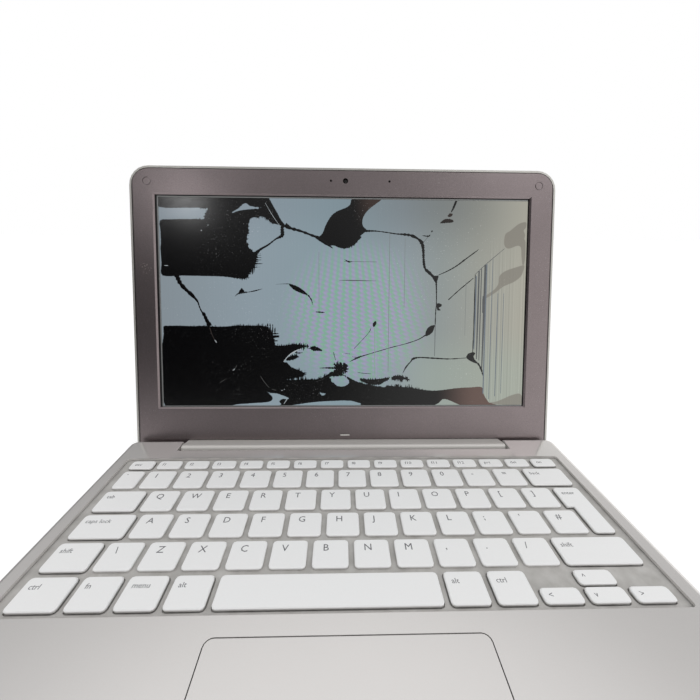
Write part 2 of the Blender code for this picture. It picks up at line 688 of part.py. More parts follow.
EAR_THICKNESS = 2.0 * MM
EAR_RADIUS = 2.2 * MM
EAR_SIDE_ROOM = 1.2 * MM
EAR_LEG_ROOM = 1.3 * MM
POCKET_WIDTH = 4.4 * MM
PIN_OVERRUN = 0.6 * MM
POCKET_OUT = BAR_HALF - BAR_END_WALL
POCKET_IN = POCKET_OUT - POCKET_WIDTH
EAR_X = POCKET_IN + EAR_SIDE_ROOM
PIN_INNER_X = EAR_X - PIN_OVERRUN
NOTCH_HALF = BAR_HALF + BAR_SLIT
NOTCH_FRONT_Y = -(
    math.hypot(BAR_TOP - BAR_TOP_RADIUS, BAR_FRONT - BAR_TOP_RADIUS) + BAR_TOP_RADIUS + NOTCH_FRONT_GAP
)
BRACKET_X = NOTCH_HALF + NOTCH_WALL + 2.0 * SEAT_GAP
BRACKET_WIDTH = 5.5 * MM
PIN_OUTER_X = BRACKET_X + BRACKET_WIDTH - SEAT_GAP

# The bar's root lies against the back shell's hollow
ROOT_HEIGHT = 3.4 * MM
ROOT_SHOULDER = 2.2 * MM
ROOT_BEVEL = (0.9 * MM, 0.7 * MM)

# The arm behind its ear, as (along the lid, out of it), and its plate
ARM_HEEL = ((-EAR_RADIUS, -1.8 * MM), (-0.6 * MM, -5.8 * MM))
ARM_TOE = 1.2 * MM
ARM_LEG_TOP = 6.4 * MM
ARM_LEG_FOOT = EAR_RADIUS + 0.9 * MM
ARM_THROAT = (EAR_RADIUS + 0.3 * MM, -4.0 * MM)
ARM_PLATE_Y = (7.0 * MM, 23.0 * MM)
ARM_PLATE_REACH = 18.0 * MM
ARM_PLATE_THICKNESS = 1.0 * MM
ARM_LAP = 0.4 * MM
PLATE_RADIUS = 1.5 * MM

# The bracket on the base's floor
BRACKET_FRONT_Y = -26.0 * MM
BRACKET_REACH = 4.4 * MM
BRACKET_SLOPE = 3.0 * MM
BRACKET_OVER_PIN = 1.3 * MM
BRACKET_ROUND = 1.0 * MM
BRACKET_SOLE = 1.2 * MM
BRACKET_HEEL = ((3.0 * MM, 0.0), (0.9 * MM, 0.7 * MM), (0.0, 2.0 * MM))
BRACKET_FOOT_REACH = 18.0 * MM
BRACKET_FOOT_INSET = 0.2 * MM
BRACKET_FOOT_REAR_Y = -8.4 * MM
BRACKET_FOOT_THICKNESS = 1.0 * MM


def make_hinge_bar():
    """The long bar: its root lies in the lid, and its ends are hollow for the hinge ears."""
    root_low = LID_BOTTOM + RIM_WIDTH + SEAT_GAP
    root_back = lid_z(LID_FLOOR_Z + SEAT_GAP)
    step_back = lid_z(-RIM_DROP + SEAT_GAP)
    profile = rounded_polygon(
        [
            (root_low + ROOT_HEIGHT, root_back, 0.0),
            (BAR_TOP, root_back, 0.0),
            (BAR_TOP, BAR_FRONT, BAR_TOP_RADIUS),
            (-BAR_BOTTOM, BAR_FRONT, BAR_BOTTOM_RADIUS),
            (-BAR_BOTTOM, step_back, 0.0),
            (root_low, step_back, 0.0),
            (root_low, lid_z(-ROOT_SHOULDER), 0.0),
            (root_low + ROOT_BEVEL[0], root_back + ROOT_BEVEL[1], 0.0),
        ]
    )
    made = lofted("hinge_bar", [along_x(profile, -BAR_HALF), along_x(profile, BAR_HALF)], SILVER, LID)
    low, high = root_back - CUT_PAST, EAR_RADIUS + PIN_CLEARANCE + LAYER_GAP
    under, over = -(EAR_RADIUS + PIN_CLEARANCE), EAR_RADIUS + EAR_LEG_ROOM
    behind = lid_z(-BEZEL_THICKNESS - SEAT_GAP)
    for side in (-1.0, 1.0):
        word = "left" if side < 0.0 else "right"
        x0, x1 = sorted((side * POCKET_IN, side * POCKET_OUT))
        room = (rectangle(x0, x1, under, over), low, high)
        boolean(made, several_prisms(f"bar_room_cutter_{word}", [room], LID))
        way = (rectangle(x0, x1, over - CUT_PAST, BAR_TOP + CUT_PAST), low, behind)
        boolean(made, several_prisms(f"bar_way_cutter_{word}", [way], LID))
        bore = [(side * (POCKET_OUT - CUT_PAST), side * (BAR_HALF + CUT_PAST), 0.0, 0.0, PIN_RADIUS + PIN_CLEARANCE)]
        boolean(made, rods_along_x(f"bar_bore_cutter_{word}", bore, None, LID))


def make_hinge_arm(word, side):
    """The lid's side of a hinge: a plate on the back shell with an ear that goes round the pin."""
    low = lid_z(LID_FLOOR_Z + SEAT_GAP)
    plate_high = low + ARM_PLATE_THICKNESS
    leg_high = lid_z(-BEZEL_THICKNESS - SEAT_GAP - LAYER_GAP)
    tip = ARM_PLATE_Y[1] - CUT_PAST
    x0, x1 = sorted((side * EAR_X, side * (EAR_X + EAR_THICKNESS)))
    arc = [
        (EAR_RADIUS * math.cos(math.radians(a)), EAR_RADIUS * math.sin(math.radians(a))) for a in range(0, 181, 20)
    ]
    ear = arc + [
        *ARM_HEEL,
        (ARM_TOE, low),
        (tip, low),
        (tip, plate_high + ARM_LAP),
        (ARM_LEG_TOP, leg_high),
        (ARM_LEG_FOOT, leg_high),
        ARM_THROAT,
    ]
    made = lofted(f"hinge_arm_{word}", [along_x(ear, x0), along_x(ear, x1)], STEEL, LID)
    a, b = sorted((side * (EAR_X - ARM_PLATE_REACH), side * (EAR_X + EAR_THICKNESS - ARM_LAP)))
    plate = rectangle(a, b, *ARM_PLATE_Y, PLATE_RADIUS, 3)
    boolean(made, prism(f"arm_plate_{word}", plate, low + LAYER_GAP, plate_high, STEEL, LID), "UNION")
    bore = [(x0 - CUT_PAST, x1 + CUT_PAST, 0.0, 0.0, PIN_RADIUS + PIN_CLEARANCE)]
    boolean(made, rods_along_x(f"arm_bore_cutter_{word}", bore, None, LID))


def make_hinge_base(word, side):
    """The base's side of a hinge: a bracket on the floor of the base, and the pin that it holds."""
    low = FLOOR_TOP_Z + SEAT_GAP
    rear = REAR_Y - BASE_WALL - SEAT_GAP
    high = AXIS_Z + PIN_RADIUS + BRACKET_OVER_PIN
    sole = low + BRACKET_SOLE
    corners = [(BRACKET_FRONT_Y, low, 0.0)]
    corners += [(rear - back, low + up, 0.0) for back, up in BRACKET_HEEL]
    corners += [
        (rear, high, BRACKET_ROUND),
        (-BRACKET_REACH, high, BRACKET_ROUND),
        (-BRACKET_REACH - BRACKET_SLOPE, sole, 0.0),
        (BRACKET_FRONT_Y, sole, 0.0),
    ]
    profile = rounded_polygon(corners, 3)
    x0, x1 = side * BRACKET_X, side * (BRACKET_X + BRACKET_WIDTH)
    made = lofted(f"hinge_bracket_{word}", [along_x(profile, x0), along_x(profile, x1)], STEEL, BASE)
    a, b = sorted((side * (BRACKET_X + CUT_PAST), side * (BRACKET_X + BRACKET_FOOT_REACH)))
    foot = rectangle(a, b, BRACKET_FRONT_Y + BRACKET_FOOT_INSET, BRACKET_FOOT_REAR_Y, PLATE_RADIUS, 3)
    foot_high = low + BRACKET_FOOT_THICKNESS
    boolean(made, prism(f"bracket_foot_{word}", foot, low + LAYER_GAP, foot_high, STEEL, BASE), "UNION")
    bore = [(x0 - side * CUT_PAST, x1 + side * CUT_PAST, 0.0, AXIS_Z, PIN_RADIUS + LAYER_GAP)]
    boolean(made, rods_along_x(f"bracket_bore_cutter_{word}", bore, None, BASE))
    pin = [(side * PIN_INNER_X, side * PIN_OUTER_X, 0.0, AXIS_Z, PIN_RADIUS)]
    rods_along_x(f"hinge_pin_{word}", pin, STEEL, BASE)


# Base: its edges as (up, in from the edge) in millimetres, and in from the notch for the deck
TUB_EDGE = ((0.0, 5.0), (0.3, 3.2), (1.2, 1.4), (2.6, 0.4), (4.4, 0.0))
TUB_HOLLOW = ((1.8, 0.1), (0.6, 1.0), (0.0, 3.6))
DECK_DRAWN = 1.4
DECK_EDGE = ((0.0, 0.0, 0.0), (0.7, 0.15, 0.0), (1.15, 0.8, 0.15), (1.4, 2.0, 0.4))


def base_outline(inset, notch_inset):
    """The plan of the base, with the notch for the bar in its rear edge."""
    half = WIDTH / 2.0 - inset
    front, rear = FRONT_Y + inset, REAR_Y - inset
    front_radius = max(FRONT_CORNER_RADIUS - inset, LEAST_RADIUS)
    rear_radius = max(REAR_CORNER_RADIUS - inset, LEAST_RADIUS)
    notch = NOTCH_HALF + notch_inset
    notch_front = NOTCH_FRONT_Y - notch_inset
    return rounded_polygon(
        [
            (-half, front, front_radius),
            (half, front, front_radius),
            (half, rear, rear_radius),
            (notch, rear, 0.0),
            (notch, notch_front, 0.0),
            (-notch, notch_front, 0.0),
            (-notch, rear, 0.0),
            (-half, rear, rear_radius),
        ]
    )


def side_box(side, x_in, x_out, y, width, z, height):
    """An upright box in a side wall, given by its centre height, as a prism."""
    x0, x1 = sorted((side * x_in, side * x_out))
    return rectangle(x0, x1, y - width / 2.0, y + width / 2.0), z - height / 2.0, z + height / 2.0


def make_bottom_cover():
    """The tub of the base, with port openings in its sides and speaker slots in its floor."""
    high = DECK_UNDERSIDE_Z - SEAT_GAP
    rings = [at_height(base_outline(inset * MM, 0.0), FOOT_HEIGHT + up * MM) for up, inset in TUB_EDGE]
    rings.append(at_height(base_outline(0.0, 0.0), high))
    rings.append(at_height(base_outline(BASE_WALL, NOTCH_WALL), high))
    for up, inset in TUB_HOLLOW:
        rings.append(at_height(base_outline(BASE_WALL + inset * MM, NOTCH_WALL), FLOOR_TOP_Z + up * MM))
    made = lofted("bottom_cover", rings, SILVER, BASE)
    out, deep = WIDTH / 2.0 + CUT_PAST, WIDTH / 2.0 - MOUTH_CUT_DEPTH
    clear = 2.0 * MOUTH_WALL_GAP
    mouths = []
    for side in (-1.0, 1.0):
        mouths.append(side_box(side, deep, out, USB_Y, USB_SIZE[1] + clear, PORT_Z, USB_SIZE[2] + clear))
    mouths.append(side_box(-1.0, deep, out, VIDEO_Y, VIDEO_SIZE[1] + clear, PORT_Z, VIDEO_SIZE[2] + clear))
    mouths.append(side_box(1.0, deep, out, CARD_Y, CARD_SIZE[1] + clear, PORT_Z, CARD_SIZE[2] + clear))
    boolean(made, several_prisms("mouth_cutter", mouths, BASE))
    round_mouths = [
        (-out, -deep, INLET_Y, PORT_Z, INLET_RADIUS + MOUTH_WALL_GAP),
        (deep, out, HEADPHONE_Y, PORT_Z, INLET_RADIUS + MOUTH_WALL_GAP),
    ]
    boolean(made, rods_along_x("round_mouth_cutter", round_mouths, None, BASE))
    inner, outer = NOTCH_HALF - CUT_PAST, NOTCH_HALF + NOTCH_WALL + CUT_PAST
    bore = PIN_RADIUS + PIN_CLEARANCE
    pin_holes = [(side * inner, side * outer, 0.0, AXIS_Z, bore) for side in (-1.0, 1.0)]
    boolean(made, rods_along_x("pin_hole_cutter", pin_holes, None, BASE))
    slots = []
    middle = SPEAKER_FRONT_Y + SPEAKER_LENGTH / 2.0
    wide, long = SLOT_WIDTH / 2.0, SLOT_LENGTH / 2.0
    for side in (-1.0, 1.0):
        for k in range(SLOT_COUNT):
            x = side * (WIDTH / 2.0 - SLOT_SIDE - k * SLOT_PITCH)
            slot = rectangle(x - wide, x + wide, middle - long, middle + long, SLOT_ROUND, 2)
            slots.append((slot, FOOT_HEIGHT - CUT_PAST, FLOOR_TOP_Z + CUT_PAST))
    boolean(made, several_prisms("speaker_slot_cutter", slots, BASE))
    bosses = []
    for x in (-BOSS_X, 0.0, BOSS_X):
        for y in (BOARD_REAR_Y - BOSS_REAR_INSET, BOARD_FRONT_Y + BOSS_FRONT_INSET):
            bosses.append((circle(x, y, BOSS_RADIUS, 12), FLOOR_TOP_Z - BOSS_SINK, BOARD_Z - SEAT_GAP))
    boolean(made, several_prisms("board_bosses", bosses, BASE), "UNION")


KEY_TOP_Z = DECK_Z - KEY_PROUD
BED_TOP_Z = DECK_UNDERSIDE_Z - SEAT_GAP
BED_LOW_Z = BED_TOP_Z - BED_THICKNESS


def make_top_case():
    """The deck: a plate with a rounded edge, the keyboard's opening and the touchpad's."""
    rise = DECK_THICKNESS / DECK_DRAWN
    rings = [
        at_height(base_outline(inset * MM, notch * MM), DECK_UNDERSIDE_Z + up * rise)
        for up, inset, notch in DECK_EDGE
    ]
    made = lofted("top_case", rings, PALE_DECK, BASE)
    low, high = DECK_UNDERSIDE_Z - CUT_PAST, DECK_Z + CUT_PAST
    tray = rectangle(-TRAY_WIDTH / 2.0, TRAY_WIDTH / 2.0, TRAY_FRONT_Y, TRAY_REAR_Y, TRAY_RADIUS, 4)
    pad = pad_outline(RUNNING_GAP)
    boolean(made, several_prisms("deck_opening_cutter", [(tray, low, high), (pad, low, high)], BASE))


def key_outline(x0, x1, y0, y1, spread=0.0):
    """The outline of a cap in its cell; spread widens it for a pocket."""
    inset = KEY_GAP / 2.0 - spread
    return rectangle(x0 + inset, x1 - inset, y0 + inset, y1 - inset, KEY_RADIUS + spread, 2)


def enter_outline(spread=0.0):
    """The two-row key: wide above, with its step on the left."""
    inset = KEY_GAP / 2.0 - spread
    radius = KEY_RADIUS + spread
    right = ROW_UNITS / 2.0 * KEY_PITCH - inset
    upper = (ROW_UNITS / 2.0 - ROW_Q_END) * KEY_PITCH + inset
    lower = (ROW_UNITS / 2.0 - ROW_A_END) * KEY_PITCH + inset
    top, middle, bottom = ROW_LINES[2] - inset, ROW_LINES[3] + inset, ROW_LINES[4] + inset
    return rounded_polygon(
        [
            (lower, bottom, radius),
            (right, bottom, radius),
            (right, top, radius),
            (upper, top, radius),
            (upper, middle, ENTER_STEP_RADIUS),
            (lower, middle, ENTER_STEP_RADIUS),
        ],
        2,
    )


def shrunk(outline, centre, amount):
    """An outline whose points move towards the centre by an amount in each direction."""
    cx, cy = centre
    return [(x - math.copysign(amount, x - cx), y - math.copysign(amount, y - cy)) for x, y in outline]


def add_cap(mesh, outline, low, centre):
    top = shrunk(outline, centre, KEY_CROWN)
    shoulder = KEY_TOP_Z - KEY_CROWN
    add_loft(mesh, [at_height(outline, low), at_height(outline, shoulder), at_height(top, KEY_TOP_Z)])


ROW_Q_END = 0.9
ROW_A_END = 0.7

# Rows from the rear: each key's width in units and, where it moves by itself, its name
KEY_ROWS = [
    [(ROW_UNITS / 16.0, "key_escape")] + [(ROW_UNITS / 16.0, None)] * 14 + [(ROW_UNITS / 16.0, "key_power")],
    [(0.8, None)] + [(1.0, None)] * 12 + [(1.4, "key_backspace")],
    [(1.3, "key_tab")] + [(1.0, None)] * 12,
    [(1.5, "key_caps_lock")] + [(1.0, None)] * 12,
    [(1.2, "key_shift_left")] + [(1.0, None)] * 11 + [(2.0, "key_shift_right")],
    [
        (1.2, "key_control_left"),
        (1.0, "key_function"),
        (1.0, "key_menu"),
        (1.0, "key_alt_left"),
        (5.0, "key_space"),
        (1.0, "key_alt_right"),
        (1.0, "key_control_right"),
    ],
]
ARROW_START = ROW_UNITS - 3.0


def key_cells():
    """All cells as (name or None, outline function, centre)."""
    cells = []
    left = -ROW_UNITS / 2.0 * KEY_PITCH
    for row, keys in enumerate(KEY_ROWS):
        rear, front = ROW_LINES[row], ROW_LINES[row + 1]
        x = left
        for units, name in keys:
            x1 = x + units * KEY_PITCH
            cells.append((name, key_outline, (x, x1, front, rear), ((x + x1) / 2.0, (front + rear) / 2.0)))
            x = x1
    front, rear = ROW_LINES[-1], ROW_LINES[-2]
    middle = (front + rear) / 2.0
    spare = (KEY_GAP - ARROW_GAP) / 2.0
    arrows = (
        ("key_arrow_left", 0, front, middle + spare),
        ("key_arrow_up", 1, middle - spare, rear),
        ("key_arrow_down", 1, front, middle + spare),
        ("key_arrow_right", 2, front, middle + spare),
    )
    for name, place, y0, y1 in arrows:
        x0 = left + (ARROW_START + place) * KEY_PITCH
        x1 = x0 + KEY_PITCH
        cells.append((name, key_outline, (x0, x1, y0, y1), ((x0 + x1) / 2.0, (y0 + y1) / 2.0)))
    right = -left
    enter_x = right - ROW_A_END * KEY_PITCH / 2.0
    cells.append(("key_enter", enter_outline, (), (enter_x, ROW_LINES[3])))
    return cells


def make_keyboard():
    """The bed with its fixed caps, and the caps that travel by themselves in their pockets."""
    half = TRAY_WIDTH / 2.0 + BED_LAP
    plan = rectangle(-half, half, TRAY_FRONT_Y - BED_LAP, TRAY_REAR_Y + BED_LAP, BED_RADIUS, 2)
    bed = prism("keyboard_bed", plan, BED_LOW_Z, BED_TOP_Z, WHITE_KEY, BASE)
    fixed = bmesh.new()
    pockets = []
    for name, shape, place, centre in key_cells():
        if name is None:
            add_cap(fixed, shape(*place), BED_TOP_Z - CAP_SINK, centre)
            continue
        pockets.append((shape(*place, spread=RUNNING_GAP), BED_LOW_Z + BED_FLOOR, BED_TOP_Z + CUT_PAST))
        mesh = bmesh.new()
        add_cap(mesh, shape(*place), KEY_TOP_Z - KEY_THICKNESS, centre)
        bmesh.ops.translate(mesh, verts=mesh.verts, vec=(-centre[0], -centre[1], -KEY_TOP_Z))
        cap = finished(name, mesh, WHITE_KEY, BASE)
        cap.location = (centre[0], centre[1], KEY_TOP_Z)
    boolean(bed, several_prisms("key_pocket_cutter", pockets, BASE))
    boolean(bed, finished("fixed_caps", fixed, WHITE_KEY, BASE), "UNION")


def pad_outline(spread=0.0):
    half = PAD_WIDTH / 2.0 + spread
    return rectangle(-half, half, PAD_FRONT_Y - spread, PAD_REAR_Y + spread, PAD_RADIUS + spread, 4)


def make_touchpad():
    """The pad tips about its rear edge, so its origin lies there."""
    mesh = bmesh.new()
    top = DECK_Z - LAYER_GAP
    plan = pad_outline()
    add_loft(mesh, [at_height(plan, top - PAD_THICKNESS), at_height(plan, top)])
    bmesh.ops.translate(mesh, verts=mesh.verts, vec=(0.0, -PAD_REAR_Y, -top))
    pad = finished("touchpad", mesh, PALE_DECK, BASE)
    pad.location = (0.0, PAD_REAR_Y, top)


# Chips on the board as (x, y, width, depth) in millimetres
CHIPS = [
    (-22.0, -52.0, 16.0, 16.0),
    (14.0, -44.0, 11.0, 13.0),
    (14.0, -62.0, 11.0, 13.0),
    (-60.0, -46.0, 12.0, 10.0),
    (-88.0, -60.0, 9.0, 9.0),
    (98.0, -50.0, 8.0, 12.0),
]


def make_inside():
    """The board, its cooling plate and card, the battery pack and the speakers."""
    edge = SOCKET_FACE - USB_SIZE[0] - SEAT_GAP
    inner = BRACKET_X - BOARD_BRACKET_GAP
    plan = [
        (-edge, BOARD_FRONT_Y),
        (edge, BOARD_FRONT_Y),
        (edge, BOARD_HINGE_Y),
        (inner, BOARD_HINGE_Y),
        (inner, BOARD_REAR_Y),
        (-inner, BOARD_REAR_Y),
        (-inner, BOARD_HINGE_Y),
        (-edge, BOARD_HINGE_Y),
    ]
    top = BOARD_Z + BOARD_THICKNESS
    board = prism("mainboard", plan, BOARD_Z, top, BOARD_GREEN, BASE)
    sunk, crown = top - CHIP_SINK, top + CHIP_HEIGHT
    blocks = []
    for x, y, wide, deep in CHIPS:
        x0, x1 = (x - wide / 2.0) * MM, (x + wide / 2.0) * MM
        y0, y1 = (y - deep / 2.0) * MM, (y + deep / 2.0) * MM
        blocks.append((rectangle(x0, x1, y0, y1), sunk, crown))
    boolean(board, several_prisms("chips", blocks, BASE), "UNION")
    cool = rectangle(*COOLING_X, *COOLING_Y, COOLING_RADIUS, 3)
    cool_z = top + CHIP_HEIGHT + SEAT_GAP
    prism("cooling_plate", cool, cool_z, cool_z + COOLING_THICKNESS, COPPER, BASE)
    card = rectangle(*CARD_BOARD_X, *CARD_BOARD_Y, LID_BOARD_RADIUS, 2)
    card_z = top + SEAT_GAP
    prism("wireless_card", card, card_z, card_z + CARD_BOARD_THICKNESS, BOARD_GREEN, BASE)
    low = FLOOR_TOP_Z + SEAT_GAP
    high = low + BLOCK_HEIGHT
    pack = rectangle(-BATTERY_HALF, BATTERY_HALF, BATTERY_FRONT_Y, BATTERY_REAR_Y, BLOCK_RADIUS, 3)
    prism("battery_pack", pack, low, high, PACK_BLACK, BASE)
    for word, side in (("left", -1.0), ("right", 1.0)):
        x0, x1 = sorted((side * SPEAKER_OUT, side * (SPEAKER_OUT - SPEAKER_WIDTH)))
        box = rectangle(x0, x1, SPEAKER_FRONT_Y, SPEAKER_FRONT_Y + SPEAKER_LENGTH, BLOCK_RADIUS, 3)
        prism(f"speaker_{word}", box, low, high, PACK_BLACK, BASE)


def make_box_socket(name, side, y, size, mouth, depth, tongue=False):
    """A socket shell flush with the side wall, with a mouth of (width, height) cut into it."""
    shell, z0, z1 = side_box(side, SOCKET_FACE - size[0], SOCKET_FACE, y, size[1], PORT_Z, size[2])
    made = prism(name, shell, z0, z1, STEEL, BASE)
    front = SOCKET_FACE + CUT_PAST
    if not tongue:
        cut = side_box(side, SOCKET_FACE - depth, front, y, mouth[0], PORT_Z, mouth[1])
        boolean(made, several_prisms(f"{name}_cutter", [cut], BASE))
        return
    entry = side_box(side, SOCKET_FACE - USB_TONGUE_DEPTH, front, y, mouth[0], PORT_Z, mouth[1])
    under_z = PORT_Z - (mouth[1] - USB_TONGUE_Z) / 2.0
    under = side_box(side, SOCKET_FACE - depth, front, y, mouth[0], under_z, USB_TONGUE_Z)
    boolean(made, several_prisms(f"{name}_entry_cutter", [entry], BASE))
    boolean(made, several_prisms(f"{name}_under_cutter", [under], BASE))


def make_turned_socket(name, side, y, profile):
    """A round socket turned from a profile of (radius, distance behind its face)."""
    rings = [along_x(circle(y, PORT_Z, radius, 16), side * (SOCKET_FACE - behind)) for radius, behind in profile]
    lofted(name, rings, STEEL, BASE)


def make_sockets():
    make_box_socket("usb_socket_left", -1.0, USB_Y, USB_SIZE, USB_MOUTH, USB_DEPTH, tongue=True)
    make_box_socket("usb_socket_right", 1.0, USB_Y, USB_SIZE, USB_MOUTH, USB_DEPTH, tongue=True)
    make_box_socket("video_socket", -1.0, VIDEO_Y, VIDEO_SIZE, VIDEO_MOUTH, VIDEO_DEPTH)
    make_box_socket("card_slot", 1.0, CARD_Y, CARD_SIZE, CARD_MOUTH, CARD_DEPTH)
    body = INLET_RADIUS
    length = USB_SIZE[0]
    inlet = [
        (body, length),
        (body, 0.0),
        (INLET_BORE, 0.0),
        (INLET_BORE, INLET_DEPTH),
        (INLET_PIN_RADIUS, INLET_DEPTH),
        (INLET_PIN_RADIUS, INLET_PIN_SETBACK),
    ]
    make_turned_socket("power_inlet", -1.0, INLET_Y, inlet)
    jack = [(body, length), (body, 0.0), (HEADPHONE_BORE, 0.0), (HEADPHONE_BORE, HEADPHONE_DEPTH)]
    make_turned_socket("headphone_socket", 1.0, HEADPHONE_Y, jack)


def make_feet():
    high = FOOT_HEIGHT - SEAT_GAP
    levels = ((0.0, FOOT_BEVEL), (FOOT_BEVEL, 0.0), (high, 0.0))
    for end, y in (("front", FOOT_FRONT_Y), ("rear", FOOT_REAR_Y)):
        for word, side in (("left", -1.0), ("right", 1.0)):
            x = side * FOOT_X
            rings = []
            for z, inset in levels:
                wide, deep = FOOT_LENGTH / 2.0 - inset, FOOT_WIDTH / 2.0 - inset
                plan = rectangle(x - wide, x + wide, y - deep, y + deep, FOOT_CORNER_RADIUS - inset, 3)
                rings.append(at_height(plan, z))
            lofted(f"foot_{end}_{word}", rings, RUBBER, BASE)


def rest_on_origin():
    """Centres the whole object over the origin, front to rear."""
    bpy.context.view_layer.update()
    graph = bpy.context.evaluated_depsgraph_get()
    low, high = math.inf, -math.inf
    for made in bpy.context.scene.objects:
        if made.type != "MESH" or made.hide_render:
            continue
        shape = made.evaluated_get(graph)
        for vertex in shape.data.vertices:
            y = (shape.matrix_world @ vertex.co).y
            low, high = min(low, y), max(high, y)
    BASE.location.y = -(low + high) / 2.0


make_lid_cover()
make_screen_bezel()
make_bumpers()
make_display()
make_leaked_crystal()
make_lid_electronics()
make_hinge_bar()
for hand, sign in (("left", -1.0), ("right", 1.0)):
    make_hinge_arm(hand, sign)
    make_hinge_base(hand, sign)
make_bottom_cover()
make_top_case()
make_keyboard()
make_touchpad()
make_inside()
make_sockets()
make_feet()
rest_on_origin()
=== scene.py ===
"""The looks of a small laptop with a broken display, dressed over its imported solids.

Shapes on the lid are written in millimetres in the lid's own frame: x to the right, v up the screen from
the hinge axis and n out towards the viewer. Shapes on the display are in millimetres from the lower left
corner of the lit area.
"""

import json
import math

import bmesh
import bpy
import numpy as np
from mathutils import Matrix, Vector


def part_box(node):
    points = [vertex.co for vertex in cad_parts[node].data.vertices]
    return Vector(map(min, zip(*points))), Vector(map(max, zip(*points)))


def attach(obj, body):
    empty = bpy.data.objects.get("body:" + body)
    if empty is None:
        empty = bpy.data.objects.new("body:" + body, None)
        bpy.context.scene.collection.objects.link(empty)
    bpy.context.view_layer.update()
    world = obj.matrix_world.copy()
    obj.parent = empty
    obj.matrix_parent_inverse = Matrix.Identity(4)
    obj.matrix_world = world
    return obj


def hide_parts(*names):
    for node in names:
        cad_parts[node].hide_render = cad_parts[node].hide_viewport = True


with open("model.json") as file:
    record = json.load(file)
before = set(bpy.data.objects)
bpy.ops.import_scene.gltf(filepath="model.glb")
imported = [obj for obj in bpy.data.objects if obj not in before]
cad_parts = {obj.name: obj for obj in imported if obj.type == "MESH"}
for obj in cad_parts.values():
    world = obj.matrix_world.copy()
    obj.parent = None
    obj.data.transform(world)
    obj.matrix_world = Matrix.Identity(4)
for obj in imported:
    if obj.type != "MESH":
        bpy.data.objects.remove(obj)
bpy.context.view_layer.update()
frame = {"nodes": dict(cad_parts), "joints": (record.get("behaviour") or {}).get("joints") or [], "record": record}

MM = 0.001
NODES = frame["nodes"]

HINGE = next(joint for joint in frame["joints"] if joint["name"] == "lid_hinge")
LEAN = math.radians(15.3)
TURN = 2.0 * math.pi
AXIS = np.array(HINGE["pos_m"])
SIDEWAYS = np.array([1.0, 0.0, 0.0])
UPWARDS = np.array([0.0, math.sin(LEAN), math.cos(LEAN)])
OUTWARDS = np.array([0.0, -math.cos(LEAN), math.sin(LEAN)])

LIT_WIDTH = 256.1
LIT_HEIGHT = 144.0
LIT_BOTTOM = 29.7
LIT_MIDDLE = LIT_BOTTOM + LIT_HEIGHT / 2.0
GLASS_FRONT = -7.7
GLASS_EDGE = 0.2
GLASS_THICKNESS = 0.5


def on_lid(x, v, n):
    """Places in metres of points in the lid's own frame: axis + x sideways + v upwards + n outwards."""
    x, v, n = np.broadcast_arrays(x, v, n)
    return AXIS + MM * (x[..., None] * SIDEWAYS + v[..., None] * UPWARDS + n[..., None] * OUTWARDS)


def on_glass(x, y, rise):
    """Places of points on the display, in millimetres from the lit area's lower left corner."""
    return on_lid(np.asarray(x) - LIT_WIDTH / 2.0, np.asarray(y) + LIT_BOTTOM, GLASS_FRONT + rise)


# Meshes


def grid_faces(rows, columns, wrap=False):
    """Quads of a grid of points counted row by row; wrap joins the last column to the first."""
    across = columns if wrap else columns - 1
    i, j = np.meshgrid(np.arange(rows - 1), np.arange(across), indexing="ij")
    k = (j + 1) % columns
    quads = [i * columns + j, i * columns + k, (i + 1) * columns + k, (i + 1) * columns + j]
    return np.stack(quads, axis=-1).reshape(-1, 4)


def piece(name, points, faces, finish, body, smooth=True):
    """A new piece that rides on a body of the part."""
    mesh = bpy.data.meshes.new(name)
    mesh.from_pydata(points.reshape(-1, 3).tolist(), [], faces)
    mesh.materials.append(finish)
    if smooth:
        mesh.shade_smooth()
    made = bpy.data.objects.new(name, mesh)
    bpy.context.scene.collection.objects.link(made)
    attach(made, body)
    return made


# Nodes for the finishes


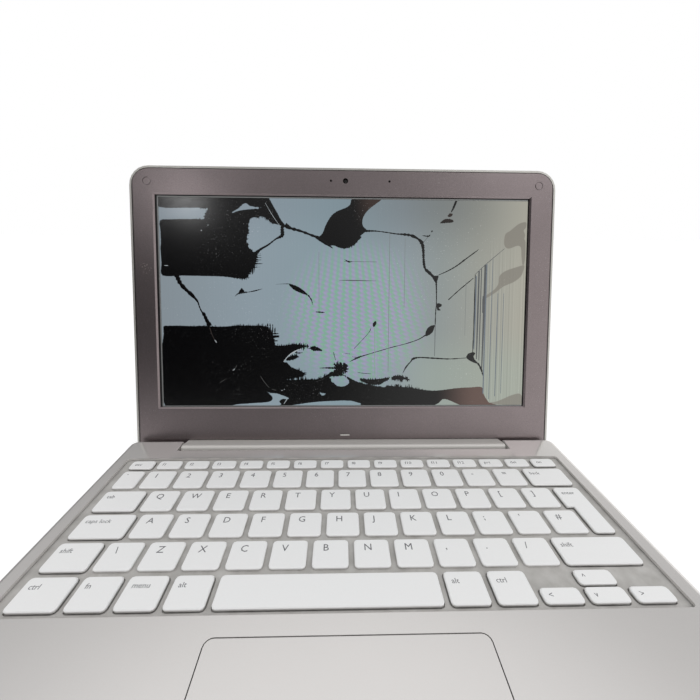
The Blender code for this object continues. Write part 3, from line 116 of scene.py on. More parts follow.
class Wires:
    """Short names for the nodes of one material or group."""

    def __init__(self, tree):
        self.tree = tree

    def add(self, kind, **settings):
        node = self.tree.nodes.new(kind)
        for key, value in settings.items():
            setattr(node, key, value)
        return node

    def feed(self, socket, value):
        if isinstance(value, bpy.types.NodeSocket):
            self.tree.links.new(value, socket)
        elif value is not None:
            socket.default_value = value

    def math(self, operation, a, b=None, c=None, clamp=False):
        node = self.add("ShaderNodeMath", operation=operation, use_clamp=clamp)
        for socket, value in zip(node.inputs, (a, b, c)):
            self.feed(socket, value)
        return node.outputs[0]

    def blend(self, factor, a, b, how="MIX"):
        node = self.add("ShaderNodeMix", data_type="RGBA", blend_type=how)
        self.feed(node.inputs[0], factor)
        self.feed(node.inputs[6], a if isinstance(a, bpy.types.NodeSocket) else (*a, 1.0))
        self.feed(node.inputs[7], b if isinstance(b, bpy.types.NodeSocket) else (*b, 1.0))
        return node.outputs[2]

    def ramp(self, factor, stops):
        node = self.add("ShaderNodeValToRGB")
        band = node.color_ramp
        while len(band.elements) < len(stops):
            band.elements.new(1.0)
        for element, (place, colour) in zip(band.elements, stops):
            element.position = place
            element.color = (*colour, 1.0)
        self.feed(node.inputs[0], factor)
        return node.outputs[0]

    def steps(self, value, low, high):
        """0 below low, 1 above high and a smooth rise between them."""
        node = self.add("ShaderNodeMapRange", interpolation_type="SMOOTHSTEP")
        self.feed(node.inputs["Value"], value)
        self.feed(node.inputs["From Min"], low)
        self.feed(node.inputs["From Max"], high)
        return node.outputs[0]

    def fall(self, value, low, high):
        """1 below low, 0 above high and a smooth fall between them."""
        return self.math("SUBTRACT", 1.0, self.steps(value, low, high))

    def less(self, value, amount):
        """value - amount"""
        return self.math("SUBTRACT", value, amount)

    def times(self, first, *others):
        """The product of all that is given."""
        for other in others:
            first = self.math("MULTIPLY", first, other)
        return first

    def even(self, value):
        """The same value three times, as a grey."""
        return self.joined(value, value, value)

    def noise(self, vector, scale, detail=2.0, roughness=0.5):
        node = self.add("ShaderNodeTexNoise")
        self.feed(node.inputs["Vector"], vector)
        node.inputs["Scale"].default_value = scale
        node.inputs["Detail"].default_value = detail
        node.inputs["Roughness"].default_value = roughness
        return node.outputs["Fac"]

    def place(self):
        return self.add("ShaderNodeTexCoord").outputs["Object"]

    def stretched(self, vector, scale):
        node = self.add("ShaderNodeMapping")
        self.feed(node.inputs["Vector"], vector)
        node.inputs["Scale"].default_value = scale
        return node.outputs[0]

    def lid_place(self):
        """Object coordinates turned into the lid's own frame, in millimetres."""
        node = self.add("ShaderNodeMapping", vector_type="TEXTURE")
        self.feed(node.inputs["Vector"], self.place())
        node.inputs["Location"].default_value = AXIS
        node.inputs["Rotation"].default_value = (math.pi / 2.0 - LEAN, 0.0, 0.0)
        node.inputs["Scale"].default_value = (MM, MM, MM)
        return node.outputs[0]

    def parts(self, vector):
        node = self.add("ShaderNodeSeparateXYZ")
        self.feed(node.inputs[0], vector)
        return node.outputs

    def spot(self, x, y, centre, core, edge):
        """1 within core of a centre, falling to 0 at edge."""
        span = self.add("ShaderNodeVectorMath", operation="DISTANCE")
        self.feed(span.inputs[0], self.joined(x, y))
        span.inputs[1].default_value = (*centre, 0.0)
        return self.fall(span.outputs["Value"], core, edge)

    def joined(self, x, y, z=0.0):
        node = self.add("ShaderNodeCombineXYZ")
        for socket, value in zip(node.inputs, (x, y, z)):
            self.feed(socket, value)
        return node.outputs[0]

    def attribute(self, name, out="Fac"):
        node = self.add("ShaderNodeAttribute", attribute_name=name)
        return node.outputs[out]

    def bump(self, height, distance, strength=1.0):
        node = self.add("ShaderNodeBump")
        node.inputs["Strength"].default_value = strength
        node.inputs["Distance"].default_value = distance
        self.feed(node.inputs["Height"], height)
        return node.outputs[0]

    def group(self, tree, **values):
        node = self.add("ShaderNodeGroup", node_tree=tree)
        for key, value in values.items():
            self.feed(node.inputs[key], value)
        return node.outputs


def linear(value):
    """A display value from 0 to 255 in linear light: ((s + 0.055) / 1.055) ^ 2.4, or s / 12.92 if dark."""
    share = value / 255.0
    return ((share + 0.055) / 1.055) ** 2.4 if value > 10.3 else share / 12.92


def colour(red, green, blue):
    return linear(red), linear(green), linear(blue)


def new_group(name, inputs, outputs):
    """A node group with its wires, what it is given and what it hands out."""
    tree = bpy.data.node_groups.new(name, "ShaderNodeTree")
    for word, kind, value in inputs:
        socket = tree.interface.new_socket(name=word, in_out="INPUT", socket_type=kind)
        if value is not None:
            socket.default_value = value
    for word, kind in outputs:
        tree.interface.new_socket(name=word, in_out="OUTPUT", socket_type=kind)
    given = tree.nodes.new("NodeGroupInput").outputs
    return tree, Wires(tree), given, tree.nodes.new("NodeGroupOutput").inputs


FLOAT, COLOUR = "NodeSocketFloat", "NodeSocketColor"
# Scales of noise per metre: a higher one is finer
FLECK_SCALE, CLOUD_SCALE, PEEL_SCALE = 2600.0, 38.0, 900.0
SPECK_SCALE, PATCH_SCALE, WISP_SCALE, WORN_SCALE = 1300.0, 24.0, 90.0, 17.0
WISP_STRETCH = (6.0, 1.0, 1.6)
WISP_WIDTH = 0.004


def make_paint_grain():
    """Metal flake in paint: fine light and dark flecks, slow clouding and a fine orange-peel height."""
    tree, w, given, out = new_group(
        "paint_grain",
        [("Colour", COLOUR, None), ("Fleck", FLOAT, 0.1), ("Cloud", FLOAT, 0.05)],
        [("Colour", COLOUR), ("Height", FLOAT)],
    )
    place = w.place()
    fleck = w.less(w.noise(place, FLECK_SCALE, 1.0), 0.5)
    cloud = w.less(w.noise(place, CLOUD_SCALE, 3.0), 0.5)
    shade = w.math("MULTIPLY_ADD", fleck, given["Fleck"], 1.0)
    shade = w.math("MULTIPLY_ADD", cloud, given["Cloud"], shade)
    w.feed(out["Colour"], w.blend(1.0, given["Colour"], w.even(shade), "MULTIPLY"))
    w.feed(out["Height"], w.noise(place, PEEL_SCALE, 2.0))
    return tree


def make_dust():
    """Loose dust: soft patches of small pale specks, and a few hair scratches."""
    tree, w, given, out = new_group("dust", [("Amount", FLOAT, 0.5)], [("Mask", FLOAT), ("Scratch", FLOAT)])
    place = w.place()
    speck = w.steps(w.noise(place, SPECK_SCALE, 1.0), 0.69, 0.76)
    patch = w.steps(w.noise(place, PATCH_SCALE, 3.0), 0.42, 0.68)
    w.feed(out["Mask"], w.times(speck, patch, given["Amount"]))
    wisps = w.noise(w.stretched(place, WISP_STRETCH), WISP_SCALE, 4.0)
    thin = w.fall(w.math("ABSOLUTE", w.less(wisps, 0.5)), 0.0, WISP_WIDTH)
    w.feed(out["Scratch"], w.times(thin, w.steps(w.noise(place, WORN_SCALE), 0.5, 0.7)))
    return tree


PAINT_GRAIN = make_paint_grain()
DUST = make_dust()


def new_finish(name, roughness, metallic=0.0):
    """A material with its wires and its shader's inputs."""
    made = bpy.data.materials.new(name)
    made.use_nodes = True
    shader = made.node_tree.nodes["Principled BSDF"]
    shader.inputs["Roughness"].default_value = roughness
    shader.inputs["Metallic"].default_value = metallic
    return made, Wires(made.node_tree), shader.inputs


def base_of(made):
    return made.node_tree.nodes["Principled BSDF"].inputs["Base Color"]


DUST_GREY = 0.62
SCRATCH_ROUGHNESS = 0.12


def painted(name, tint, roughness, metallic, fleck=0.16, cloud=0.04, dust_amount=0.3, peel=0.008 * MM):
    """Sprayed paint with metal flake, a little dust, fine scratches and a fine orange peel."""
    made, w, shader = new_finish(name, roughness, metallic)
    grain = w.group(PAINT_GRAIN, Colour=(*tint, 1.0), Fleck=fleck, Cloud=cloud)
    dust = w.group(DUST, Amount=dust_amount)
    pale = tuple(0.5 * (c + DUST_GREY) for c in tint)
    w.feed(shader["Base Color"], w.blend(dust["Mask"], grain["Colour"], pale))
    w.feed(shader["Roughness"], w.math("MULTIPLY_ADD", dust["Scratch"], SCRATCH_ROUGHNESS, roughness))
    w.feed(shader["Normal"], w.bump(grain["Height"], peel))
    return made


BEZEL_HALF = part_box("screen_bezel")[1][0] / MM
BEZEL_TOP = 194.0
BEZEL_CORNER = 11.0
# Painted shade along the seam round the bezel: where it starts and is full, and how dark it is
SEAM_START, SEAM_END = -1.0, -0.3
SEAM_SHADE = 0.8
CAMERA_V = 185.5
MOUTH_SOFT = 0.35
# Where the camera and the two microphones sit across the bezel, and their mouths' radius
MOUTHS = [(0.0, 2.0), (-10.0, 0.95), (30.3, 0.95)]
CHIPS_PLACE = (-136.8, 125.4)
CHIPS_CORE, CHIPS_EDGE = 1.5, 5.0
MOUTH_BLACK = (0.012, 0.01, 0.01)
BARE_METAL = colour(205, 190, 184)


def make_bezel_finish():
    """The taupe paint with painted shade along the seam round it, dark camera and microphone mouths and a cluster
    of chips.

    The seam follows a rounded rectangle: distance = |max(q, 0)| + min(max(q), 0) - corner, where q is
    counted from the corner's centre.
    """
    tint = colour(137, 127, 128)
    made = painted("bezel_paint", tint, 0.3, 0.95, fleck=0.6, cloud=0.16, dust_amount=0.7, peel=0.014 * MM)
    w = Wires(made.node_tree)
    base = base_of(made)
    x, v, _ = w.parts(w.lid_place())
    qx = w.less(w.math("ABSOLUTE", x), BEZEL_HALF - BEZEL_CORNER)
    qv = w.less(v, BEZEL_TOP - BEZEL_CORNER)
    beyond = w.joined(w.math("MAXIMUM", qx, 0.0), w.math("MAXIMUM", qv, 0.0))
    reach = w.add("ShaderNodeVectorMath", operation="LENGTH")
    w.feed(reach.inputs[0], beyond)
    within = w.math("MINIMUM", w.math("MAXIMUM", qx, qv), 0.0)
    distance = w.less(w.math("ADD", reach.outputs["Value"], within), BEZEL_CORNER)
    # Painted shade along the seam between the bezel and the cover
    dark = w.times(w.steps(distance, SEAM_START, SEAM_END), SEAM_SHADE)
    for across, radius in MOUTHS:
        dark = w.math("MAXIMUM", dark, w.spot(x, v, (across, CAMERA_V), radius - MOUTH_SOFT, radius))
    painted_over = w.blend(dark, base.links[0].from_socket, MOUTH_BLACK)
    chips = w.steps(w.noise(w.place(), 700.0, 2.0), 0.58, 0.64)
    chips = w.times(chips, w.spot(x, v, CHIPS_PLACE, CHIPS_CORE, CHIPS_EDGE))
    w.feed(base, w.blend(chips, painted_over, BARE_METAL))
    return made


BEZEL = make_bezel_finish()


def plain(name, tint, roughness, metallic=0.0, mottle=0.12, scale=400.0, height=0.02 * MM):
    """Moulded or rolled stuff with a slight mottle in its colour and a fine surface."""
    made, w, shader = new_finish(name, roughness, metallic)
    grain = w.noise(w.place(), scale, 3.0)
    shade = w.math("MULTIPLY_ADD", w.less(grain, 0.5), mottle, 1.0)
    w.feed(shader["Base Color"], w.blend(1.0, tint, w.even(shade), "MULTIPLY"))
    w.feed(shader["Normal"], w.bump(grain, height))
    return made


SILVER = painted("silver_paint", colour(202, 199, 195), 0.36, 0.12)
SHELL = painted("shell_paint", colour(188, 186, 181), 0.34, 0.6)
DECK_TINT = colour(224, 221, 219)
DECK = painted("deck_paint", DECK_TINT, 0.15, 0.6, fleck=0.05, cloud=0.03, dust_amount=0.25, peel=0.003 * MM)
RUBBER = plain("foot_rubber", colour(58, 56, 56), 0.85, mottle=0.2)
STEEL = plain("plated_steel", colour(176, 176, 178), 0.32, 1.0, mottle=0.1)
BOARD = plain("solder_mask", colour(22, 74, 50), 0.4, mottle=0.35, scale=240.0, height=0.05 * MM)
PACK = plain("pack_film", colour(38, 38, 40), 0.55)
FOIL = plain("copper_foil", colour(196, 128, 92), 0.35, 1.0, mottle=0.2, scale=120.0)
LENS = plain("lens_glass", colour(16, 12, 12), 0.08, mottle=0.3)


CAP_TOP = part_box("keyboard_bed")[1][2]
# How far below the cap tops the painted shade between the keys sets in and is full, and its two tints
GAP_SHADE_STARTS, GAP_SHADE_FULL = 0.5 * MM, 1.3 * MM
GAP_SHADE_DARK, GAP_SHADE_PALE = colour(150, 147, 143), colour(206, 204, 201)


def make_key_finish():
    """White caps; below their tops the flanks and the bed between them are painted grey, as shade in the gaps,
    mottled by noise.
    """
    made = plain("key_plastic", colour(240, 240, 240), 0.5, mottle=0.03, scale=900.0, height=0.006 * MM)
    w = Wires(made.node_tree)
    base = base_of(made)
    # Painted shade in the gaps between the keys, deeper below the cap tops
    low = w.steps(w.less(CAP_TOP, w.parts(w.place())[2]), GAP_SHADE_STARTS, GAP_SHADE_FULL)
    gap_shade = w.blend(w.noise(w.place(), 160.0, 3.0), GAP_SHADE_DARK, GAP_SHADE_PALE)
    w.feed(base, w.blend(low, base.links[0].from_socket, gap_shade))
    return made


KEY_WHITE = make_key_finish()


# How much of the display's edge is bare round the lit area, and how soft the edge of the tape and of the painted
# shade on the right is
BARE_EDGE = 0.95
TAPE_AND_SHADE_SOFT = 0.1
TAPE_AND_SHADE_BLACK = colour(17, 16, 17)


def make_tray_finish():
    """The display's steel edge, with the black tape that covers it away from the glass, and black painted shade
    along the lit area's right side.
    """
    made, w, shader = new_finish("display_edge", 0.4, 0.6)
    x, v, _ = w.parts(w.lid_place())
    from_side = w.less(w.math("ABSOLUTE", x), LIT_WIDTH / 2.0)
    from_end = w.less(w.math("ABSOLUTE", w.less(v, LIT_MIDDLE)), LIT_HEIGHT / 2.0)
    taped_round = w.steps(w.math("MAXIMUM", from_side, from_end), BARE_EDGE, BARE_EDGE + TAPE_AND_SHADE_SOFT)
    # Black painted shade along the lit area's right side, where no bare edge is left
    shaded_right = w.steps(x, LIT_WIDTH / 2.0, LIT_WIDTH / 2.0 + TAPE_AND_SHADE_SOFT)
    tape_and_shade = w.math("MAXIMUM", taped_round, shaded_right)
    metal = w.blend(w.noise(w.place(), 700.0), colour(128, 130, 130), colour(146, 148, 147))
    w.feed(shader["Base Color"], w.blend(tape_and_shade, metal, TAPE_AND_SHADE_BLACK))
    w.feed(shader["Metallic"], w.math("MULTIPLY_ADD", tape_and_shade, -0.5, 0.5))
    w.feed(shader["Normal"], w.bump(w.noise(w.place(), 1500.0), 0.01 * MM))
    return made


TRAY = make_tray_finish()

FINISHES = {
    "silver_paint": SILVER,
    "pale_deck": DECK,
    "taupe_bezel": BEZEL,
    "white_key": KEY_WHITE,
    "grey_rubber": RUBBER,
    "steel": STEEL,
    "board_green": BOARD,
    "pack_black": PACK,
    "copper": FOIL,
    "lens_black": LENS,
}
for entry in frame["record"]["subparts"]:
    finish = FINISHES.get(entry["material_slot"])
    if finish is not None:
        NODES[entry["node"]].material_slots[0].material = finish
NODES["lcd_frame"].material_slots[0].material = TRAY
NODES["lid_cover"].material_slots[0].material = SHELL

# The broken display, in millimetres on the lit area

# Outlines of leaked crystal: three large dark fields and the small ones between them
UPPER_FIELD = [
    (-1.0, 145.0), (35.0, 145.0), (73.6, 145.0), (75.4, 144.0), (78.2, 139.0), (81.1, 133.9),
    (83.6, 129.3), (86.1, 126.3), (85.0, 124.7),
    (82.0, 126.3), (77.5, 127.3), (74.4, 129.8), (70.9, 132.1), (67.8, 131.4), (64.2, 131.1),
    (62.1, 129.8), (60.9, 125.8), (60.8, 121.7), (59.6, 116.6), (60.1, 112.5), (62.0, 109.4),
    (64.4, 107.2), (66.7, 105.3), (66.0, 102.3), (65.4, 99.2), (63.1, 95.6), (61.0, 92.9),
    (60.0, 90.0), (55.3, 89.2), (43.4, 90.5), (29.0, 90.8), (15.5, 91.0), (1.2, 91.0), (0.8, 99.2),
    (0.4, 109.4), (0.8, 113.5), (0.7, 121.7), (0.6, 128.4), (8.2, 129.3), (18.4, 129.6), (29.6, 129.5),
    (31.1, 131.4), (32.7, 135.5), (32.9, 137.2), (18.4, 137.2), (0.6, 137.5),
]
TOP_FIELD = [
    (133.8, 145.0), (131.6, 141.0), (128.5, 138.5), (123.4, 136.5), (119.3, 133.9), (116.2, 129.8),
    (114.1, 125.8), (112.0, 120.6), (109.0, 117.6), (112.1, 114.5), (115.2, 112.5), (120.4, 112.4),
    (123.4, 111.2), (128.6, 110.6), (133.9, 113.0), (137.0, 116.0), (139.5, 118.4), (138.4, 119.1),
    (140.5, 120.9), (143.0, 123.2), (140.4, 125.8), (139.9, 129.8), (141.4, 133.9), (145.0, 138.0),
    (149.0, 141.1), (152.6, 145.0),
]
LOWER_FIELD = [
    (0.9, -1.0), (0.9, 50.0), (0.8, 55.0), (1.6, 56.1), (5.0, 56.2), (11.8, 56.3), (22.2, 55.9),
    (28.4, 56.1), (37.7, 55.6), (45.0, 55.8), (53.3, 56.6), (61.6, 56.4), (69.9, 56.4), (74.0, 54.8),
    (76.6, 52.0), (77.6, 47.4), (78.6, 42.8), (84.3, 42.5), (89.5, 43.1), (95.8, 43.1), (101.5, 42.1),
    (96.3, 40.5), (92.6, 38.7), (88.5, 35.7), (84.4, 31.2), (87.0, 30.2), (89.1, 27.8), (92.8, 25.8),
    (97.5, 23.9), (98.6, 20.9), (86.1, 18.0), (100.2, 18.4), (108.6, 18.5), (114.3, 21.1),
    (118.4, 22.9), (122.0, 25.0), (128.1, 20.9), (132.4, 18.8), (137.6, 16.3), (146.0, 14.2),
    (155.4, 12.7), (158.5, 13.7), (164.8, 13.2), (173.2, 12.5), (181.6, 11.1), (190.0, 10.1),
    (198.4, 10.6), (207.9, 11.9), (218.4, 12.5), (226.8, 12.7), (227.9, 8.6), (230.1, 4.5),
    (232.3, 1.4), (233.0, -1.0), (150.0, -1.0), (70.0, -1.0),
]
SMALL_FIELDS = [
    [(138.7, 18.8), (145.0, 18.3), (153.5, 18.8), (160.3, 19.8), (156.6, 16.8), (152.4, 14.7),
     (146.1, 14.7), (140.8, 16.8)],
    [(161.3, 18.8), (162.4, 20.3), (167.1, 21.1), (172.9, 18.6), (167.1, 18.2)],
    [(85.8, 32.6), (89.3, 35.2), (94.4, 35.3), (92.4, 33.0), (88.0, 31.9)],
    [(103.3, 41.5), (107.2, 41.8), (112.6, 38.7), (108.2, 39.0), (104.1, 39.4)],
    [(185.2, 49.5), (185.7, 53.0), (187.8, 56.1), (191.9, 57.4), (191.4, 54.6), (189.9, 51.5),
     (186.8, 49.7)],
    [(215.1, 34.1), (216.1, 36.7), (219.8, 38.0), (221.7, 37.2), (220.3, 35.2), (221.3, 32.6),
     (224.0, 29.8), (220.8, 30.3), (217.2, 32.1)],
    [(188.4, 92.6), (191.7, 92.0), (194.1, 92.2), (192.7, 87.4), (191.7, 87.4), (190.0, 90.0)],
    [(193.2, 72.7), (196.6, 72.1), (196.3, 70.4), (194.2, 69.4), (196.3, 68.0), (193.5, 67.8)],
    [(199.6, 133.4), (201.2, 135.5), (203.4, 134.7), (201.9, 132.9)],
    [(194.2, 128.6), (198.3, 131.7), (203.4, 130.9), (203.6, 129.3), (199.3, 128.8)],
    [(88.0, 85.9), (91.1, 85.4), (95.2, 83.7), (99.4, 80.8), (102.5, 77.5), (99.9, 78.3), (95.8, 79.8),
     (91.6, 82.0)],
    [(53.0, 78.5), (55.7, 82.9), (57.4, 80.3), (59.9, 79.8), (55.5, 78.8)],
    [(147.8, 56.1), (147.6, 58.1), (149.4, 60.2), (150.4, 59.2), (149.7, 57.1), (148.6, 55.8)],
]
# The impact: a star of many short rays
STAR_PLACE = (124.6, 25.8)
STAR_RAYS = 13
STAR_RADIUS, STAR_RAY, STAR_SWELL = 4.0, 1.0, 0.9
STAR_WIDTH = 1.1
# Spots inside the dark fields that are still lit
LIT_ISLANDS = [
    [(49.5, 134.4), (54.1, 137.0), (57.7, 140.3), (60.2, 140.5), (62.3, 138.8), (69.9, 137.8),
     (66.3, 136.8), (60.2, 136.5), (54.1, 135.5), (50.5, 134.1)],
    [(117.0, 20.5), (118.5, 16.5), (123.0, 13.4), (128.0, 13.6), (130.8, 15.6), (130.6, 18.0),
     (127.8, 20.7), (125.5, 21.2), (121.0, 20.6)],
    [(48.5, -1.0), (52.0, 0.6), (67.4, 1.6), (73.7, 2.3), (76.3, 4.0), (75.8, 6.6), (72.1, 9.8),
     (74.8, 8.6), (80.0, 8.1), (87.9, 5.0), (86.3, 4.0), (83.7, 4.5), (81.0, 2.5), (80.6, -1.0)],
    [(91.0, -1.0), (97.0, 0.8), (109.4, 2.3), (120.0, 2.8), (132.5, 2.9), (139.0, -1.0)],
    [(193.0, -1.0), (195.6, 1.0), (198.7, 4.0), (202.9, 3.3), (208.0, 1.0), (211.0, -1.0)],
    [(109.8, 9.6), (111.6, 8.6), (114.6, 8.1), (111.4, 6.6)],
]
# Half-dark smears along the right edge
GREY_SMEARS = [
    [(250.8, 128.8), (255.4, 129.8), (255.4, 126.0), (253.9, 124.2), (255.0, 121.0), (254.5, 118.0),
     (255.5, 116.0), (255.5, 104.0), (254.0, 99.5), (253.0, 106.0), (252.4, 112.0), (249.8, 113.5),
     (243.6, 111.4), (240.6, 113.5), (240.3, 118.0), (241.2, 121.7), (244.0, 123.5), (247.0, 126.0)],
    [(254.9, 99.7), (248.8, 98.2), (241.6, 95.6), (237.5, 92.0), (237.0, 86.9), (234.4, 82.9),
     (228.9, 78.8), (226.3, 77.2), (227.3, 76.0), (234.5, 80.2), (240.6, 84.9), (247.8, 88.0),
     (252.9, 92.0), (254.5, 96.1)],
    [(255.3, 7.6), (249.0, 6.8), (243.7, 4.5), (237.4, 2.0), (232.7, 1.4), (236.4, 0.4), (256.0, 0.0)],
]
# Where the edge of a dark field is drawn out into hairs: place across and up, radius, length of the hairs
FEATHERS = [
    (62.0, 57.0, 13.0, 1.8), (77.0, 52.0, 8.0, 7.0), (95.0, 42.0, 9.0, 3.0), (66.0, 99.0, 8.0, 7.0),
    (60.0, 118.0, 9.0, 2.2), (72.0, 130.0, 7.0, 2.0), (172.0, 12.5, 12.0, 2.8), (148.0, 18.5, 10.0, 1.2),
    (97.0, 22.0, 7.0, 3.2), (114.0, 20.0, 7.0, 2.6), (125.0, 27.0, 8.0, 1.6), (132.0, 113.0, 7.0, 1.2),
    (60.0, 90.0, 9.0, 1.6), (30.0, 56.0, 12.0, 1.4), (30.0, 133.0, 6.0, 1.2),
]

# Tints of cracks and faulty lines, in linear light
DARK, SHADE, FAINT = (0.0, 0.0, 0.0), (0.075, 0.08, 0.085), (0.17, 0.185, 0.185)
BLUISH, BROWN_LINE, DIM = (0.125, 0.15, 0.18), (0.03, 0.024, 0.022), (0.06, 0.06, 0.058)
GREEN_LINE, PALE_LINE = (0.2, 0.36, 0.25), (0.36, 0.4, 0.42)

